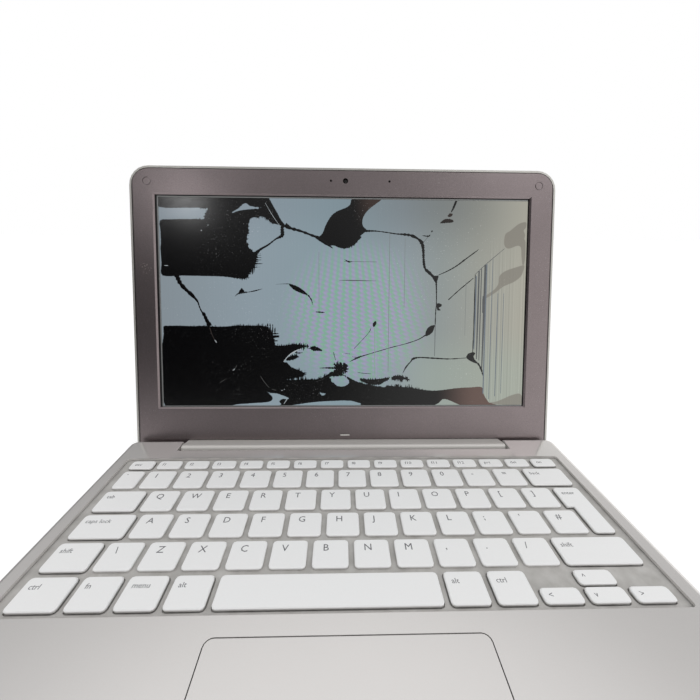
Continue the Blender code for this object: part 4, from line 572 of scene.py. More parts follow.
# Cracks and faulty lines as (tint, rows of x, y and width), in millimetres on the lit area
CRACKS = [
    (DARK, [(86.2, 126.3, 2.6), (89.7, 124.2, 2.2), (96.9, 122.2, 1.6), (104.0, 119.6, 1.6),
            (109.1, 117.6, 2.4), (115.2, 113.5, 1.6), (119.3, 110.6, 0.3)]),
    (DARK, [(84.2, 125.5, 2.0), (84.2, 122.5, 2.4), (84.0, 119.0, 2.4), (79.6, 116.5, 1.0),
            (74.3, 112.5, 1.2), (69.0, 109.4, 1.6), (65.6, 106.4, 2.6)]),
    (DARK, [(142.1, 122.7, 1.6), (149.2, 122.7, 0.8), (156.4, 121.9, 0.7), (163.6, 120.9, 0.9),
            (169.8, 120.5, 1.5), (174.4, 119.8, 1.7), (179.0, 117.6, 1.9), (181.9, 114.5, 2.4),
            (182.9, 109.4, 1.8), (183.2, 103.3, 1.6), (184.3, 97.2, 1.7), (187.4, 94.1, 1.8),
            (190.5, 91.2, 2.0)]),
    (DARK, [(192.4, 90.0, 1.6), (192.5, 85.9, 1.1), (192.7, 80.8, 0.8), (192.8, 72.0, 0.6),
            (192.4, 66.8, 0.7), (192.2, 57.6, 0.6)]),
    (SHADE, [(192.2, 58.0, 0.5), (192.2, 46.4, 0.4), (192.1, 35.2, 0.3)]),
    (DARK, [(10.9, 91.5, 3.6), (13.2, 86.0, 3.0), (16.7, 81.8, 2.6), (21.5, 77.3, 2.2), (24.9, 73.3, 1.2),
            (26.2, 69.5, 0.8), (27.5, 66.5, 1.0), (29.2, 64.2, 2.2), (31.1, 60.0, 2.4),
            (33.2, 56.0, 3.6)]),
    (DARK, [(51.0, 76.9, 0.2), (53.4, 78.8, 0.8), (59.7, 79.8, 0.4), (64.8, 80.8, 0.8),
            (70.0, 82.2, 0.2)]),
    (DARK, [(79.3, 85.4, 0.1), (84.0, 85.7, 0.25), (88.4, 85.8, 0.5)]),
    (DARK, [(102.0, 78.0, 1.0), (104.3, 74.6, 0.7), (105.1, 71.3, 0.2)]),
    (DARK, [(107.4, 66.3, 0.5), (110.5, 66.1, 1.0), (113.6, 65.9, 0.4)]),
    (SHADE, [(127.2, 101.6, 0.3), (150.2, 101.4, 0.25)]),
    (DARK, [(127.5, 102.8, 0.4), (130.6, 101.4, 1.0), (133.0, 101.6, 0.2)]),
    (SHADE, [(123.8, 88.5, 0.25), (134.2, 88.4, 0.7), (150.0, 88.2, 0.2)]),
    (DARK, [(146.3, 54.6, 0.5), (144.2, 51.0, 0.35), (134.4, 40.3, 0.3)]),
    (DARK, [(131.3, 31.1, 0.3), (137.5, 34.1, 1.2), (142.0, 35.6, 0.6), (160.4, 41.1, 0.5),
            (170.8, 43.8, 0.5), (180.0, 46.9, 0.6), (185.6, 50.2, 0.9)]),
    (DARK, [(133.0, 34.6, 0.2), (137.5, 34.0, 0.5)]),
    (DARK, [(169.3, 22.7, 0.2), (171.9, 27.5, 1.0), (175.0, 31.1, 0.7), (176.6, 33.1, 1.6),
            (181.3, 34.1, 0.9), (191.7, 33.6, 1.0), (203.1, 33.1, 0.7), (215.8, 33.9, 0.4)]),
    (DARK, [(223.4, 30.2, 1.0), (226.0, 26.0, 1.4), (227.4, 21.0, 0.3)]),
    (DARK, [(194.0, 92.6, 0.4), (200.7, 95.6, 0.7), (206.9, 99.2, 0.8), (213.0, 103.8, 0.9),
            (222.2, 110.6, 0.4)]),
    (DARK, [(201.3, 75.2, 0.7), (208.5, 81.8, 0.7), (218.8, 90.5, 0.5)]),
    (SHADE, [(220.0, 93.1, 0.3), (227.5, 100.2, 0.4), (240.6, 111.4, 0.3)]),
    (DARK, [(205.6, 144.0, 1.5), (203.6, 139.0, 1.3), (202.0, 136.0, 0.4)]),
    (DARK, [(182.0, 119.9, 0.3), (186.4, 119.5, 1.0), (187.6, 120.6, 0.4)]),
    (DARK, [(188.2, 122.3, 0.3), (188.8, 122.9, 1.0), (189.3, 123.4, 0.2)]),
    (SHADE, [(182.7, 115.0, 0.3), (186.2, 119.1, 0.3)]),
    (DARK, [(109.9, 26.5, 0.3), (115.5, 26.6, 1.0), (123.0, 26.4, 1.6)]),
    (DARK, [(119.8, 37.7, 0.5), (121.3, 32.1, 0.3)]),
    (DARK, [(119.4, 23.4, 2.6), (113.5, 19.3, 1.0), (106.0, 16.3, 0.2)]),
    (DARK, [(137.0, 23.4, 0.2), (141.0, 22.8, 0.4), (146.9, 22.4, 0.2)]),
    (DARK, [(127.6, 36.9, 0.2), (131.6, 36.6, 0.35)]),
    (DARK, [(92.6, 37.6, 0.3), (95.0, 37.2, 0.9), (98.0, 37.5, 0.2)]),
    (SHADE, [(226.8, 78.0, 1.8), (226.4, 74.0, 1.4), (226.2, 66.0, 0.8)]),
    (BLUISH, [(221.0, 92.0, 0.8), (220.8, 60.0, 0.9), (220.4, 40.0, 0.6)]),
    (DARK, [(220.2, 93.0, 0.6), (220.0, 60.0, 0.7), (219.6, 37.0, 0.6)]),
    (SHADE, [(222.9, 95.6, 1.0), (222.6, 60.0, 1.1), (222.4, 33.0, 0.7)]),
    (SHADE, [(224.6, 97.2, 0.6), (224.4, 60.0, 0.7), (224.2, 32.0, 0.5)]),
    (BLUISH, [(228.4, 100.4, 0.7), (228.0, 60.0, 0.9), (227.8, 8.0, 0.8)]),
    (SHADE, [(227.3, 100.0, 1.4), (226.9, 60.0, 1.3), (226.4, 26.0, 0.8)]),
    (BLUISH, [(232.6, 104.0, 0.3), (232.2, 50.0, 0.5), (232.0, 4.0, 0.4)]),
    (BLUISH, [(236.8, 80.0, 0.4), (236.6, 40.0, 0.6), (236.4, 6.0, 0.5)]),
    (BLUISH, [(241.0, 80.0, 0.3), (240.8, 40.0, 0.4), (240.6, 8.0, 0.3)]),
    (FAINT, [(109.6, 108.0, 0.25), (109.6, 66.0, 0.25)]),
    (FAINT, [(159.2, 121.0, 0.3), (159.0, 80.0, 0.35), (158.8, 24.0, 0.3)]),
    (FAINT, [(170.0, 118.0, 0.25), (169.8, 70.0, 0.3)]),
    (FAINT, [(213.8, 88.0, 0.3), (213.6, 50.0, 0.2)]),
    (GREEN_LINE, [(149.0, 55.0, 0.5), (149.2, 36.0, 0.6), (149.4, 19.0, 0.5)]),
    (GREEN_LINE, [(146.6, 40.0, 0.3), (146.8, 19.0, 0.4)]),
    (PALE_LINE, [(84.4, 31.0, 0.3), (88.0, 35.2, 0.7), (92.6, 38.4, 0.8), (97.0, 40.0, 0.3)]),
    (PALE_LINE, [(84.4, 0.8, 0.3), (86.8, 4.4, 0.5)]),
    (PALE_LINE, [(72.6, 141.0, 0.15), (78.0, 132.0, 0.3), (82.6, 125.6, 0.15)]),
    (PALE_LINE, [(28.4, 121.8, 0.7), (28.9, 122.2, 0.6)]),
    (PALE_LINE, [(33.0, 125.5, 0.5), (33.5, 125.8, 0.4)]),
    (PALE_LINE, [(2.7, 97.9, 0.2), (4.0, 97.8, 0.45), (5.4, 97.9, 0.2)]),
    (PALE_LINE, [(48.8, 24.8, 0.3), (49.9, 25.9, 0.6)]),
    (DIM, [(50.4, 26.4, 0.3), (51.4, 28.4, 0.4)]),
    (PALE_LINE, [(36.2, 46.6, 0.3), (37.6, 44.6, 0.6)]),
    (BROWN_LINE, [(33.0, 55.0, 0.6), (34.6, 50.0, 0.5), (36.4, 46.2, 0.3)]),
    (DIM, [(68.0, 20.8, 0.2), (70.4, 17.0, 0.3), (74.0, 12.4, 0.2)]),
    (DIM, [(39.4, 16.2, 0.2), (42.8, 18.2, 0.35)]),
    (DIM, [(76.0, 11.4, 0.3), (79.0, 10.6, 0.4)]),
    (PALE_LINE, [(82.8, 10.4, 0.6), (83.4, 10.6, 0.6)]),
    (PALE_LINE, [(84.6, 11.2, 0.4), (85.0, 11.4, 0.4)]),
]


def catmull_rom(a, b, c, d, steps):
    """The smooth stretches from each b to its c, steps points long, where a comes before and d after."""
    t = (np.arange(steps) / steps)[:, None, None]
    curve = 2 * b + (c - a) * t + (2 * a - 5 * b + 4 * c - d) * t**2 + (3 * b - a - 3 * c + d) * t**3
    return (0.5 * curve).transpose(1, 0, 2).reshape(-1, b.shape[1])


def smooth_closed(points, steps):
    """A closed curve through given points."""
    given = np.array(points, dtype=float)
    return catmull_rom(np.roll(given, 1, 0), given, np.roll(given, -1, 0), np.roll(given, -2, 0), steps)


def smooth_open(points, steps):
    """An open curve through given points, ends included."""
    given = np.array(points, dtype=float)
    padded = np.vstack([2 * given[0] - given[1], given, 2 * given[-1] - given[-2]])
    return np.vstack([catmull_rom(padded[:-3], padded[1:-2], padded[2:-1], padded[3:], steps), given[-1]])


def star_outline():
    """A spiked blob: radius = 4 + cos(rays t) + 0.9 sin(3 t + 1) in millimetres."""
    t = np.linspace(0.0, 2.0 * np.pi, 6 * STAR_RAYS, endpoint=False)
    radius = STAR_RADIUS + STAR_RAY * np.cos(STAR_RAYS * t) + STAR_SWELL * np.sin(3.0 * t + 1.0)
    across, up = STAR_WIDTH * radius * np.cos(t), radius * np.sin(t)
    return np.stack([STAR_PLACE[0] + across, STAR_PLACE[1] + up], axis=1)


def distance_to(x, y, outline):
    """Distance of every grid point to a closed outline, negative inside it by the even-odd rule."""
    nearest = np.full(x.shape, np.inf)
    inside = np.zeros(x.shape, dtype=bool)
    for (x0, y0), (x1, y1) in zip(outline, np.roll(outline, -1, 0)):
        dx, dy = x1 - x0, y1 - y0
        t = np.clip(((x - x0) * dx + (y - y0) * dy) / (dx * dx + dy * dy + 1e-12), 0.0, 1.0)
        nearest = np.minimum(nearest, (x - x0 - t * dx) ** 2 + (y - y0 - t * dy) ** 2)
        if dy != 0.0:
            inside ^= ((y0 > y) != (y1 > y)) & (x < x0 + (y - y0) * dx / dy)
    return np.where(inside, -1.0, 1.0) * np.sqrt(nearest)


def nearest_edge(x, y, outlines, steps):
    """Distance to the nearest of several smoothed outlines, negative inside any of them."""
    nearest = np.full(x.shape, np.inf)
    for outline in outlines:
        nearest = np.minimum(nearest, distance_to(x, y, smooth_closed(outline, steps)))
    return nearest


GLASS_ROUGHNESS = 0.17
GLASS_BLACK, SPECK_GREY = (0.001, 0.001, 0.0013), (0.2, 0.2, 0.2)
GLASS_DUST = 0.9
# Tints of the lit picture from left to right, as shares of its width
PICTURE = [
    (0.0, colour(130, 140, 147)),
    (0.25, colour(137, 151, 160)),
    (0.5, colour(130, 149, 157)),
    (0.66, colour(136, 148, 154)),
    (0.76, colour(136, 144, 143)),
    (0.87, colour(147, 149, 141)),
    (1.0, colour(162, 160, 148)),
]
GREENISH, TOP_GREY, TOP_BLUE = colour(154, 166, 155), colour(84, 84, 86), colour(96, 104, 116)
SMEAR_GREY, SMEAR_SHARE = colour(125, 121, 112), 0.85
CRYSTAL_BROWN = colour(92, 72, 65)
MOIRE_PLACE = (136.0, 64.0)
MOIRE_REACH = 60.0
MOIRE_GREEN, MOIRE_VIOLET = colour(118, 186, 136), colour(172, 150, 200)
MOIRE_SHARE = 0.48
BAND_START = 130.0
BAND_WIDTH, BAND_NARROWING = 8.0, -0.038
BAND_WANDER = 0.8
BEADS_PER_MM = 0.31
BEAD_SWAY = 0.14
BEAD_SHARE = 0.14
FINE_LINES, FAILED_LINES = 0.09, 0.85
EDGE_WOBBLE = 0.9
EDGE_SOFT = 0.12


def lit_picture(w, x, y):
    """The grey of a blank lit display: greener at the lower right, greyer along the top."""
    picture = w.ramp(w.math("DIVIDE", x, LIT_WIDTH), PICTURE)
    lower_right = w.times(w.steps(x, 150.0, 190.0), w.fall(y, 20.0, 60.0), 0.5)
    picture = w.blend(lower_right, picture, GREENISH)
    top = w.times(w.steps(y, 96.0, 144.0), w.steps(x, 95.0, 190.0))
    top = w.times(top, w.less(1.2, w.steps(x, 205.0, 256.0)), 0.36)
    picture = w.blend(top, picture, TOP_GREY)
    top_left = w.times(w.steps(y, 105.0, 144.0), w.fall(x, 95.0, 190.0), 0.2)
    return w.blend(top_left, picture, TOP_BLUE)


def with_moire(w, picture, x, y, flat):
    """Green and violet bands that stand in the middle, widen downwards, carry beads and fade outwards."""
    out_x = w.math("POWER", w.math("DIVIDE", w.less(x, MOIRE_PLACE[0]), MOIRE_REACH), 2.0)
    out_y = w.math("POWER", w.math("DIVIDE", w.less(y, MOIRE_PLACE[1]), MOIRE_REACH), 2.0)
    share = w.fall(w.math("ADD", out_x, out_y), 0.12, 0.95)
    width = w.math("MULTIPLY_ADD", y, BAND_NARROWING, BAND_WIDTH)
    wander = w.noise(w.stretched(flat, (0.05, 0.02, 1.0)), 1.0)
    phase = w.math("MULTIPLY_ADD", wander, BAND_WANDER, w.math("DIVIDE", w.less(x, BAND_START), width))
    row = w.math("MULTIPLY_ADD", y, BEADS_PER_MM, w.times(phase, 0.5))
    bead = w.math("SINE", w.times(row, TURN))
    sway = w.times(bead, BEAD_SWAY, w.fall(y, 66.0, 108.0))
    band = w.math("SINE", w.times(w.math("ADD", sway, phase), TURN))
    tint = w.blend(w.math("MULTIPLY_ADD", band, 0.5, 0.5), MOIRE_GREEN, MOIRE_VIOLET)
    share = w.times(share, w.math("MULTIPLY_ADD", bead, BEAD_SHARE, MOIRE_SHARE))
    return w.blend(share, picture, tint)


def with_upright_lines(w, picture, x, y):
    """Fine upright lines all over, and strong ones low on the right where whole columns have failed."""
    fine = w.noise(w.joined(w.times(x, 1.3), 0.0), 1.0, 1.0)
    shade = w.math("MULTIPLY_ADD", w.less(fine, 0.5), FINE_LINES, 1.0)
    coarse = w.less(w.noise(w.joined(w.times(x, 0.9), 3.0), 1.0, 2.0), 0.5)
    failed = w.times(w.steps(x, 227.0, 229.0), w.fall(y, 90.0, 125.0))
    shade = w.math("MULTIPLY_ADD", w.times(coarse, FAILED_LINES), failed, shade)
    return w.blend(1.0, picture, w.even(shade), "MULTIPLY")


def leak_share(w, flat):
    """1 on leaked crystal and 0 off it, with a ragged edge that is drawn out into hairs.

    Hairs run up and down where the edge is level, and sideways where it is upright.
    """
    hair = w.add("ShaderNodeMix", data_type="FLOAT")
    w.feed(hair.inputs[0], w.attribute("steep"))
    w.feed(hair.inputs[2], w.noise(w.stretched(flat, (0.09, 1.15, 1.0)), 1.0, 1.0))
    w.feed(hair.inputs[3], w.noise(w.stretched(flat, (1.15, 0.09, 1.0)), 1.0, 1.0))
    pulled = w.times(w.steps(hair.outputs[0], 0.42, 0.68), w.attribute("feather"))
    wobble = w.less(w.noise(flat, 1.5, 3.0), 0.5)
    edge = w.math("MULTIPLY_ADD", wobble, EDGE_WOBBLE, w.attribute("leak"))
    return w.fall(w.less(edge, pulled), -EDGE_SOFT, EDGE_SOFT)


def make_display_finish():
    """The lit picture with its moire and stripes, and the black of leaked crystal laid over it.

    Bounds of steps and falls are millimetres on the lit area.
    """
    made, w, shader = new_finish("broken_display", GLASS_ROUGHNESS)
    x, v, _ = w.parts(w.lid_place())
    x = w.math("ADD", x, LIT_WIDTH / 2.0)
    y = w.less(v, LIT_BOTTOM)
    flat = w.joined(x, y)
    picture = with_moire(w, lit_picture(w, x, y), x, y, flat)
    picture = with_upright_lines(w, picture, x, y)
    smear = w.times(w.fall(w.attribute("smear"), -0.2, 0.3), SMEAR_SHARE)
    picture = w.blend(smear, picture, SMEAR_GREY)

    lower = w.times(w.steps(x, 192.0, 224.0), w.fall(y, 12.0, 20.0))
    upper = w.times(w.steps(x, 132.0, 148.0), w.steps(y, 122.0, 144.0), 0.35)
    black = w.blend(w.math("MAXIMUM", lower, upper), DARK, CRYSTAL_BROWN)
    w.feed(shader["Emission Color"], w.blend(leak_share(w, flat), picture, black))
    shader["Emission Strength"].default_value = 1.0

    dust = w.group(DUST, Amount=GLASS_DUST)
    w.feed(shader["Base Color"], w.blend(dust["Mask"], GLASS_BLACK, SPECK_GREY))
    w.feed(shader["Roughness"], w.math("MULTIPLY_ADD", w.noise(flat, 0.2, 3.0), 0.06, 0.14))
    w.feed(shader["Normal"], w.bump(w.noise(flat, 6.0, 1.0), 0.004 * MM))
    return made


# A grid point of the glass's front every 0.64 mm, and the points drawn for each one of an outline
GLASS_COLUMNS, GLASS_ROWS = 401, 226
FIELD_STEPS, SMALL_STEPS = 3, 2


def make_display_glass():
    """A slab of glass: a fine grid of its front, x and y evenly spaced, closed by a rim and a plain back.

    Each grid point keeps its distance to the edge of the dark fields, the length of the hairs there and how
    level that edge is, so that the finish can draw the edge sharply between the points.
    """
    x, y = np.meshgrid(
        np.linspace(-GLASS_EDGE, LIT_WIDTH + GLASS_EDGE, GLASS_COLUMNS),
        np.linspace(-GLASS_EDGE, LIT_HEIGHT + GLASS_EDGE, GLASS_ROWS),
    )
    leak = nearest_edge(x, y, (UPPER_FIELD, TOP_FIELD, LOWER_FIELD), FIELD_STEPS)
    leak = np.minimum(leak, nearest_edge(x, y, SMALL_FIELDS, SMALL_STEPS))
    leak = np.minimum(leak, distance_to(x, y, star_outline()))
    leak = np.maximum(leak, -nearest_edge(x, y, LIT_ISLANDS, SMALL_STEPS))
    smear = nearest_edge(x, y, GREY_SMEARS, FIELD_STEPS)
    down, along = np.gradient(leak)
    steep = np.abs(down) / (np.hypot(down, along) + 1e-6)
    feather = np.zeros(x.shape)
    for fx, fy, radius, length in FEATHERS:
        feather = np.maximum(feather, length * np.exp(-((x - fx) ** 2 + (y - fy) ** 2) / radius**2))

    front = on_glass(x, y, 0.0)
    first = GLASS_ROWS * GLASS_COLUMNS
    number = np.arange(first).reshape(GLASS_ROWS, GLASS_COLUMNS)
    ring = np.concatenate([number[0], number[1:, -1], number[-1, -2::-1], number[-2:0:-1, 0]])
    back = front.reshape(-1, 3)[ring] - GLASS_THICKNESS * MM * OUTWARDS
    around = first + np.arange(len(ring))
    rim = np.stack([ring, around, np.roll(around, -1), np.roll(ring, -1)], axis=-1)
    faces = grid_faces(GLASS_ROWS, GLASS_COLUMNS).tolist() + rim.tolist() + [around[::-1].tolist()]
    points = np.vstack([front.reshape(-1, 3), back])
    made = piece("display_glass", points, faces, make_display_finish(), "lid", smooth=False)
    for name, values in (("leak", leak), ("smear", smear), ("steep", steep), ("feather", feather)):
        column = np.concatenate([values.ravel(), values.ravel()[ring]]).astype(np.float32)
        made.data.attributes.new(name, "FLOAT", "POINT").data.foreach_set("value", column)
    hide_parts("lcd_cell", "leaked_crystal")
    return made


def make_crack_finish():
    """The glass's own black, lit in each line's tint with a slight flicker along it."""
    made, w, shader = new_finish("crack_lines", GLASS_ROUGHNESS)
    shader["Base Color"].default_value = (*GLASS_BLACK, 1.0)
    flicker = w.math("MULTIPLY_ADD", w.noise(w.place(), 500.0), 0.4, 0.8)
    tint = w.attribute("tint", "Color")
    w.feed(shader["Emission Color"], w.blend(1.0, tint, w.even(flicker), "MULTIPLY"))
    shader["Emission Strength"].default_value = 1.0
    return made


LEAST_LINE = 0.08
# Points drawn for each one of a line, and of a line that has only two
LONG_STEPS, SHORT_STEPS = 8, 12
# How far a line's feet and its crest stand over the glass, and how much further each next line stands
FOOT_RISE, CREST_RISE, NEXT_RISE = 0.02, 0.05, 0.0004


def ragged(x, y, k):
    """How a dark crack thins and swells: 1 + 0.22 sin(2.9 x + 4.1 y + k) + 0.12 sin(7.3 x - 6.1 y)."""
    return 1.0 + 0.22 * np.sin(2.9 * x + 4.1 * y + k) + 0.12 * np.sin(7.3 * x - 6.1 * y)


def make_cracks():
    """Every crack is a low ridge on the glass: a smooth path whose width is tapered and slightly ragged.

    The section has three points: a left and a right foot just over the glass, and a crest above them.
    """
    points, faces, tints = [], [], []
    start = 0
    for k, (tint, path) in enumerate(CRACKS):
        run = smooth_open(path, LONG_STEPS if len(path) > 2 else SHORT_STEPS)
        x, y, width = run[:, 0], run[:, 1], np.maximum(run[:, 2], LEAST_LINE)
        if tint == DARK:
            width = width * ragged(x, y, k)
        dx, dy = np.gradient(x), np.gradient(y)
        length = np.hypot(dx, dy) + 1e-9
        across_x, across_y = -dy / length * width / 2.0, dx / length * width / 2.0
        x = np.clip(np.stack([x + across_x, x - across_x, x], axis=1), 0.0, LIT_WIDTH)
        y = np.clip(np.stack([y + across_y, y - across_y, y], axis=1), 0.0, LIT_HEIGHT)
        section = np.array([FOOT_RISE, FOOT_RISE, CREST_RISE]) + NEXT_RISE * k
        points.append(on_glass(x, y, np.broadcast_to(section, x.shape)).reshape(-1, 3))
        after = start + 3 * len(run)
        faces += (grid_faces(len(run), 3, wrap=True) + start).tolist()
        faces += [[start, start + 1, start + 2], [after - 1, after - 2, after - 3]]
        tints.append(np.tile((*tint, 1.0), (3 * len(run), 1)))
        start = after
    points = np.vstack(points)
    made = piece("crack_lines", points, faces, make_crack_finish(), "lid", smooth=False)
    shade = made.data.attributes.new("tint", "FLOAT_COLOR", "POINT")
    shade.data.foreach_set("color", np.vstack(tints).astype(np.float32).ravel())
    return made


make_display_glass()
make_cracks()

# Plain legends on the keys

# The ink's thickness, and how deep it sits in the cap so that no gap shows
INK = 0.03 * MM
INK_SINK = 0.005 * MM
LETTER_SIZE = 5.2 * MM
WORD_SIZE = 3.4 * MM
LETTER_IN = 4.5 * MM
WORD_IN = 2.6 * MM
LEGEND_DROP = 4.6 * MM
SHORT_KEY = 10.0 * MM
WELD = 1e-7
KEY_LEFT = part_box("key_tab")[0][0]
KEY_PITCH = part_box("key_menu")[0][0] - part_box("key_function")[0][0]
ROW_UNITS = 14.2
FUNCTION_UNITS = ROW_UNITS / 16.0
# Rows of fixed caps: the moving key beside them, their start and width in key units, and their words
LETTER_ROWS = [
    ("key_escape", FUNCTION_UNITS, FUNCTION_UNITS, [f"f{k}" for k in range(1, 13)] + ["prt", "del"]),
    ("key_backspace", -0.2, 1.0, "`1234567890-="),
    ("key_tab", 1.3, 1.0, "QWERTYUIOP[]"),
    ("key_caps_lock", 1.5, 1.0, "ASDFGHJKL;'#"),
    ("key_shift_left", 1.2, 1.0, "\\ZXCVBNM,./"),
]
KEY_WORDS = {
    "key_escape": ("escape_key", "esc"),
    "key_power": ("power_key", "on"),
    "key_backspace": ("backspace_key", "back"),
    "key_tab": ("tab_key", "tab"),
    "key_enter": ("enter_key", "enter"),
    "key_caps_lock": ("caps_lock_key", "caps lock"),
    "key_shift_left": ("left_shift_key", "shift"),
    "key_shift_right": ("right_shift_key", "shift"),
    "key_control_left": ("left_control_key", "ctrl"),
    "key_function": ("function_key", "fn"),
    "key_menu": ("menu_key", "menu"),
    "key_alt_left": ("left_alt_key", "alt"),
    "key_alt_right": ("right_alt_key", "alt"),
    "key_control_right": ("right_control_key", "ctrl"),
    "key_arrow_left": ("left_arrow_key", "<"),
    "key_arrow_right": ("right_arrow_key", ">"),
    "key_arrow_up": ("up_arrow_key", "^"),
    "key_arrow_down": ("down_arrow_key", "v"),
}


def word_shape(word, size):
    """Points and faces of a thin raised word whose left end is at the origin."""
    curve = bpy.data.curves.new("word", "FONT")
    curve.body = word
    curve.size = size
    curve.extrude = INK / 2.0
    curve.resolution_u = 2
    curve.align_y = "CENTER"
    holder = bpy.data.objects.new("word", curve)
    mesh = bpy.data.meshes.new_from_object(holder)
    shape = bmesh.new()
    shape.from_mesh(mesh)
    bmesh.ops.remove_doubles(shape, verts=shape.verts, dist=WELD)
    shape.to_mesh(mesh)
    shape.free()
    points = np.empty(3 * len(mesh.vertices))
    mesh.vertices.foreach_get("co", points)
    faces = [np.array(face.vertices) for face in mesh.polygons]
    bpy.data.objects.remove(holder)
    bpy.data.curves.remove(curve)
    bpy.data.meshes.remove(mesh)
    return points.reshape(-1, 3), faces


def printed(name, words, finish, body):
    """One piece of all words given as (word, size, left end, middle height, top of the cap)."""
    points, faces, start = [], [], 0
    for word, size, x, y, z in words:
        shape, sides = word_shape(word, size)
        points.append(shape + (x, y, z + INK / 2.0 - INK_SINK))
        faces += [(side + start).tolist() for side in sides]
        start += len(shape)
    piece(name, np.vstack(points), faces, finish, body, smooth=False)


def cap(node):
    """A cap's left end, its top, whether it is short, and the place from front to rear of its legend."""
    low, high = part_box(node)
    short = high[1] - low[1] < SHORT_KEY
    y = (low[1] + high[1]) / 2.0 if short else high[1] - LEGEND_DROP
    return low[0], high[2], short, y


def make_legends():
    """One piece of all the fixed caps' letters, and a piece of its own for each key that moves."""
    ink = plain("key_ink", colour(104, 104, 108), 0.6, mottle=0.3, scale=1500.0)
    words = []
    for node, first, width, legends in LETTER_ROWS:
        _, _, short, y = cap(node)
        size = WORD_SIZE if short else LETTER_SIZE
        for k, word in enumerate(legends):
            x = KEY_LEFT + (first + k * width) * KEY_PITCH
            inset = WORD_IN if short or x < KEY_LEFT else LETTER_IN
            words.append((word, size, max(x, KEY_LEFT) + inset, y, CAP_TOP))
    printed("key_letters", words, ink, "base")
    for node, (body, word) in KEY_WORDS.items():
        left, top, _, y = cap(node)
        printed(node + "_legend", [(word, WORD_SIZE, left + WORD_IN, y, top)], ink, body)


make_legends()

# Floor, light and camera

FLOOR_REACH = 6.0
FLOOR_GREY = (0.86, 0.86, 0.86)
FLOOR_GLOW = 0.32


def make_floor():
    """A wide pale floor that glows a little for whatever sees it directly or mirrored."""
    made, w, shader = new_finish("studio_floor", 0.9)
    shader["Base Color"].default_value = (*FLOOR_GREY, 1.0)
    tree = made.node_tree
    glow = w.add("ShaderNodeEmission")
    path = w.add("ShaderNodeLightPath")
    seen = w.math("MAXIMUM", path.outputs["Is Camera Ray"], path.outputs["Is Glossy Ray"])
    seen = w.math("MAXIMUM", seen, path.outputs["Is Transmission Ray"])
    w.feed(glow.inputs["Strength"], w.times(seen, FLOOR_GLOW))
    both = w.add("ShaderNodeAddShader")
    tree.links.new(tree.nodes["Principled BSDF"].outputs[0], both.inputs[0])
    tree.links.new(glow.outputs[0], both.inputs[1])
    tree.links.new(both.outputs[0], tree.nodes["Material Output"].inputs["Surface"])
    mesh = bpy.data.meshes.new("floor")
    corners = [(x * FLOOR_REACH, y * FLOOR_REACH, 0.0) for x, y in ((-1, -1), (1, -1), (1, 1), (-1, 1))]
    mesh.from_pydata(corners, [], [(0, 1, 2, 3)])
    mesh.materials.append(made)
    floor = bpy.data.objects.new("floor", mesh)
    bpy.context.scene.collection.objects.link(floor)


# What the part mirrors from left to right
STUDIO_SIDES = [
    (0.0, (0.015, 0.015, 0.017)),
    (0.3, (0.02, 0.02, 0.022)),
    (0.48, (0.11, 0.11, 0.11)),
    (0.6, (0.72, 0.72, 0.71)),
    (0.75, (1.1, 1.09, 1.07)),
    (1.0, (1.0, 0.99, 0.98)),
]
STUDIO_ABOVE, STUDIO_OVERHEAD = (0.42, 0.42, 0.42), (0.95, 0.95, 0.95)
STUDIO_LIGHT, STUDIO_WHITE = (0.85, 0.85, 0.85), (1.0, 1.0, 1.0)


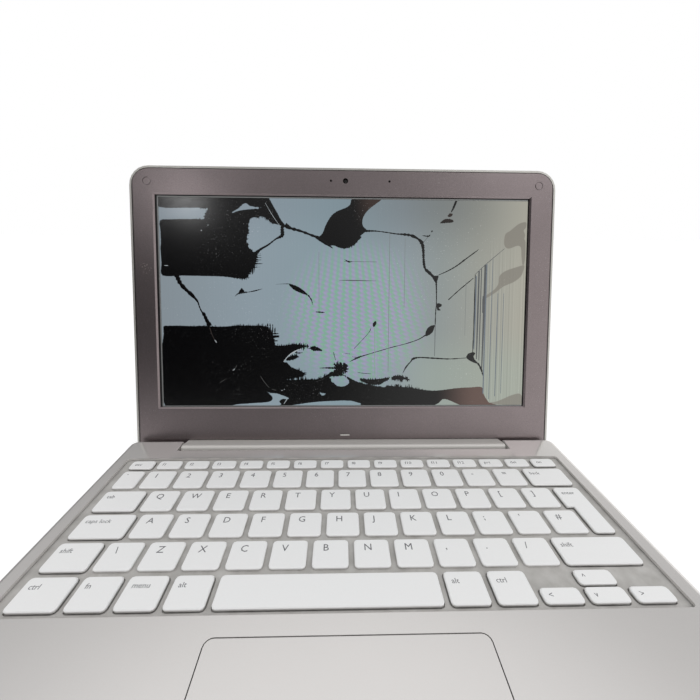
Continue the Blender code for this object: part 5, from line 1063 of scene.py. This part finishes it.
def make_world():
    """A studio that is mirrored dim on the left, bright on the right and overhead, and seen plain white."""
    world = bpy.data.worlds.new("studio")
    world.use_nodes = True
    bpy.context.scene.world = world
    tree = world.node_tree
    w = Wires(tree)
    x, _, z = w.parts(w.add("ShaderNodeTexCoord").outputs["Generated"])
    side = w.ramp(w.math("MULTIPLY_ADD", x, 0.5, 0.5), STUDIO_SIDES)
    mirrored = w.blend(w.steps(z, 0.3, 0.66), side, STUDIO_ABOVE)
    mirrored = w.blend(w.steps(z, 0.62, 0.9), mirrored, STUDIO_OVERHEAD)
    path = w.add("ShaderNodeLightPath")
    shade = tree.nodes["Background"]
    light = w.blend(path.outputs["Is Glossy Ray"], STUDIO_LIGHT, mirrored)
    w.feed(shade.inputs["Color"], w.blend(path.outputs["Is Camera Ray"], light, STUDIO_WHITE))
    shade.inputs["Strength"].default_value = 1.0


def softbox(name, place, target, size, power):
    """A round lamp that faces its target."""
    data = bpy.data.lights.new(name, "AREA")
    data.shape = "DISK"
    data.size = size
    data.energy = power
    made = bpy.data.objects.new(name, data)
    made.location = place
    made.rotation_euler = (Vector(target) - Vector(place)).to_track_quat("-Z", "Y").to_euler()
    bpy.context.scene.collection.objects.link(made)


CAMERA_PLACE = (-0.0031, -0.1499, 0.1540)
CAMERA_YAW = 0.02711
CAMERA_PITCH = 0.32665
CAMERA_ROLL = 0.01022
FOCAL_SHARE = 360.0 / 700.0


def make_camera():
    """The photograph's wide, close view: yaw to the right, pitch downwards and a slight roll."""
    data = bpy.data.cameras.new("camera")
    data.sensor_width = 36.0
    data.lens = FOCAL_SHARE * data.sensor_width
    data.clip_start = 0.01
    made = bpy.data.objects.new("camera", data)
    bpy.context.scene.collection.objects.link(made)
    forward = Vector((
        math.sin(CAMERA_YAW) * math.cos(CAMERA_PITCH),
        math.cos(CAMERA_YAW) * math.cos(CAMERA_PITCH),
        -math.sin(CAMERA_PITCH),
    ))
    right = Vector((math.cos(CAMERA_YAW), -math.sin(CAMERA_YAW), 0.0))
    up = right.cross(forward)
    c, s = math.cos(CAMERA_ROLL), math.sin(CAMERA_ROLL)
    x, y = c * right + s * up, c * up - s * right
    turn = Matrix((x, y, -forward)).transposed().to_4x4()
    made.matrix_world = Matrix.Translation(CAMERA_PLACE) @ turn
    bpy.context.scene.camera = made


make_floor()
make_world()
softbox("key_softbox", place=(0.75, -0.5, 1.2), target=(0.0, 0.0, 0.05), size=0.9, power=2.8)
softbox("glare_lamp", place=(-0.476, -0.649, 0.696), target=(-0.11, 0.12, 0.1715), size=0.1, power=0.2)
make_camera()
bpy.context.scene.view_settings.view_transform = "Standard"
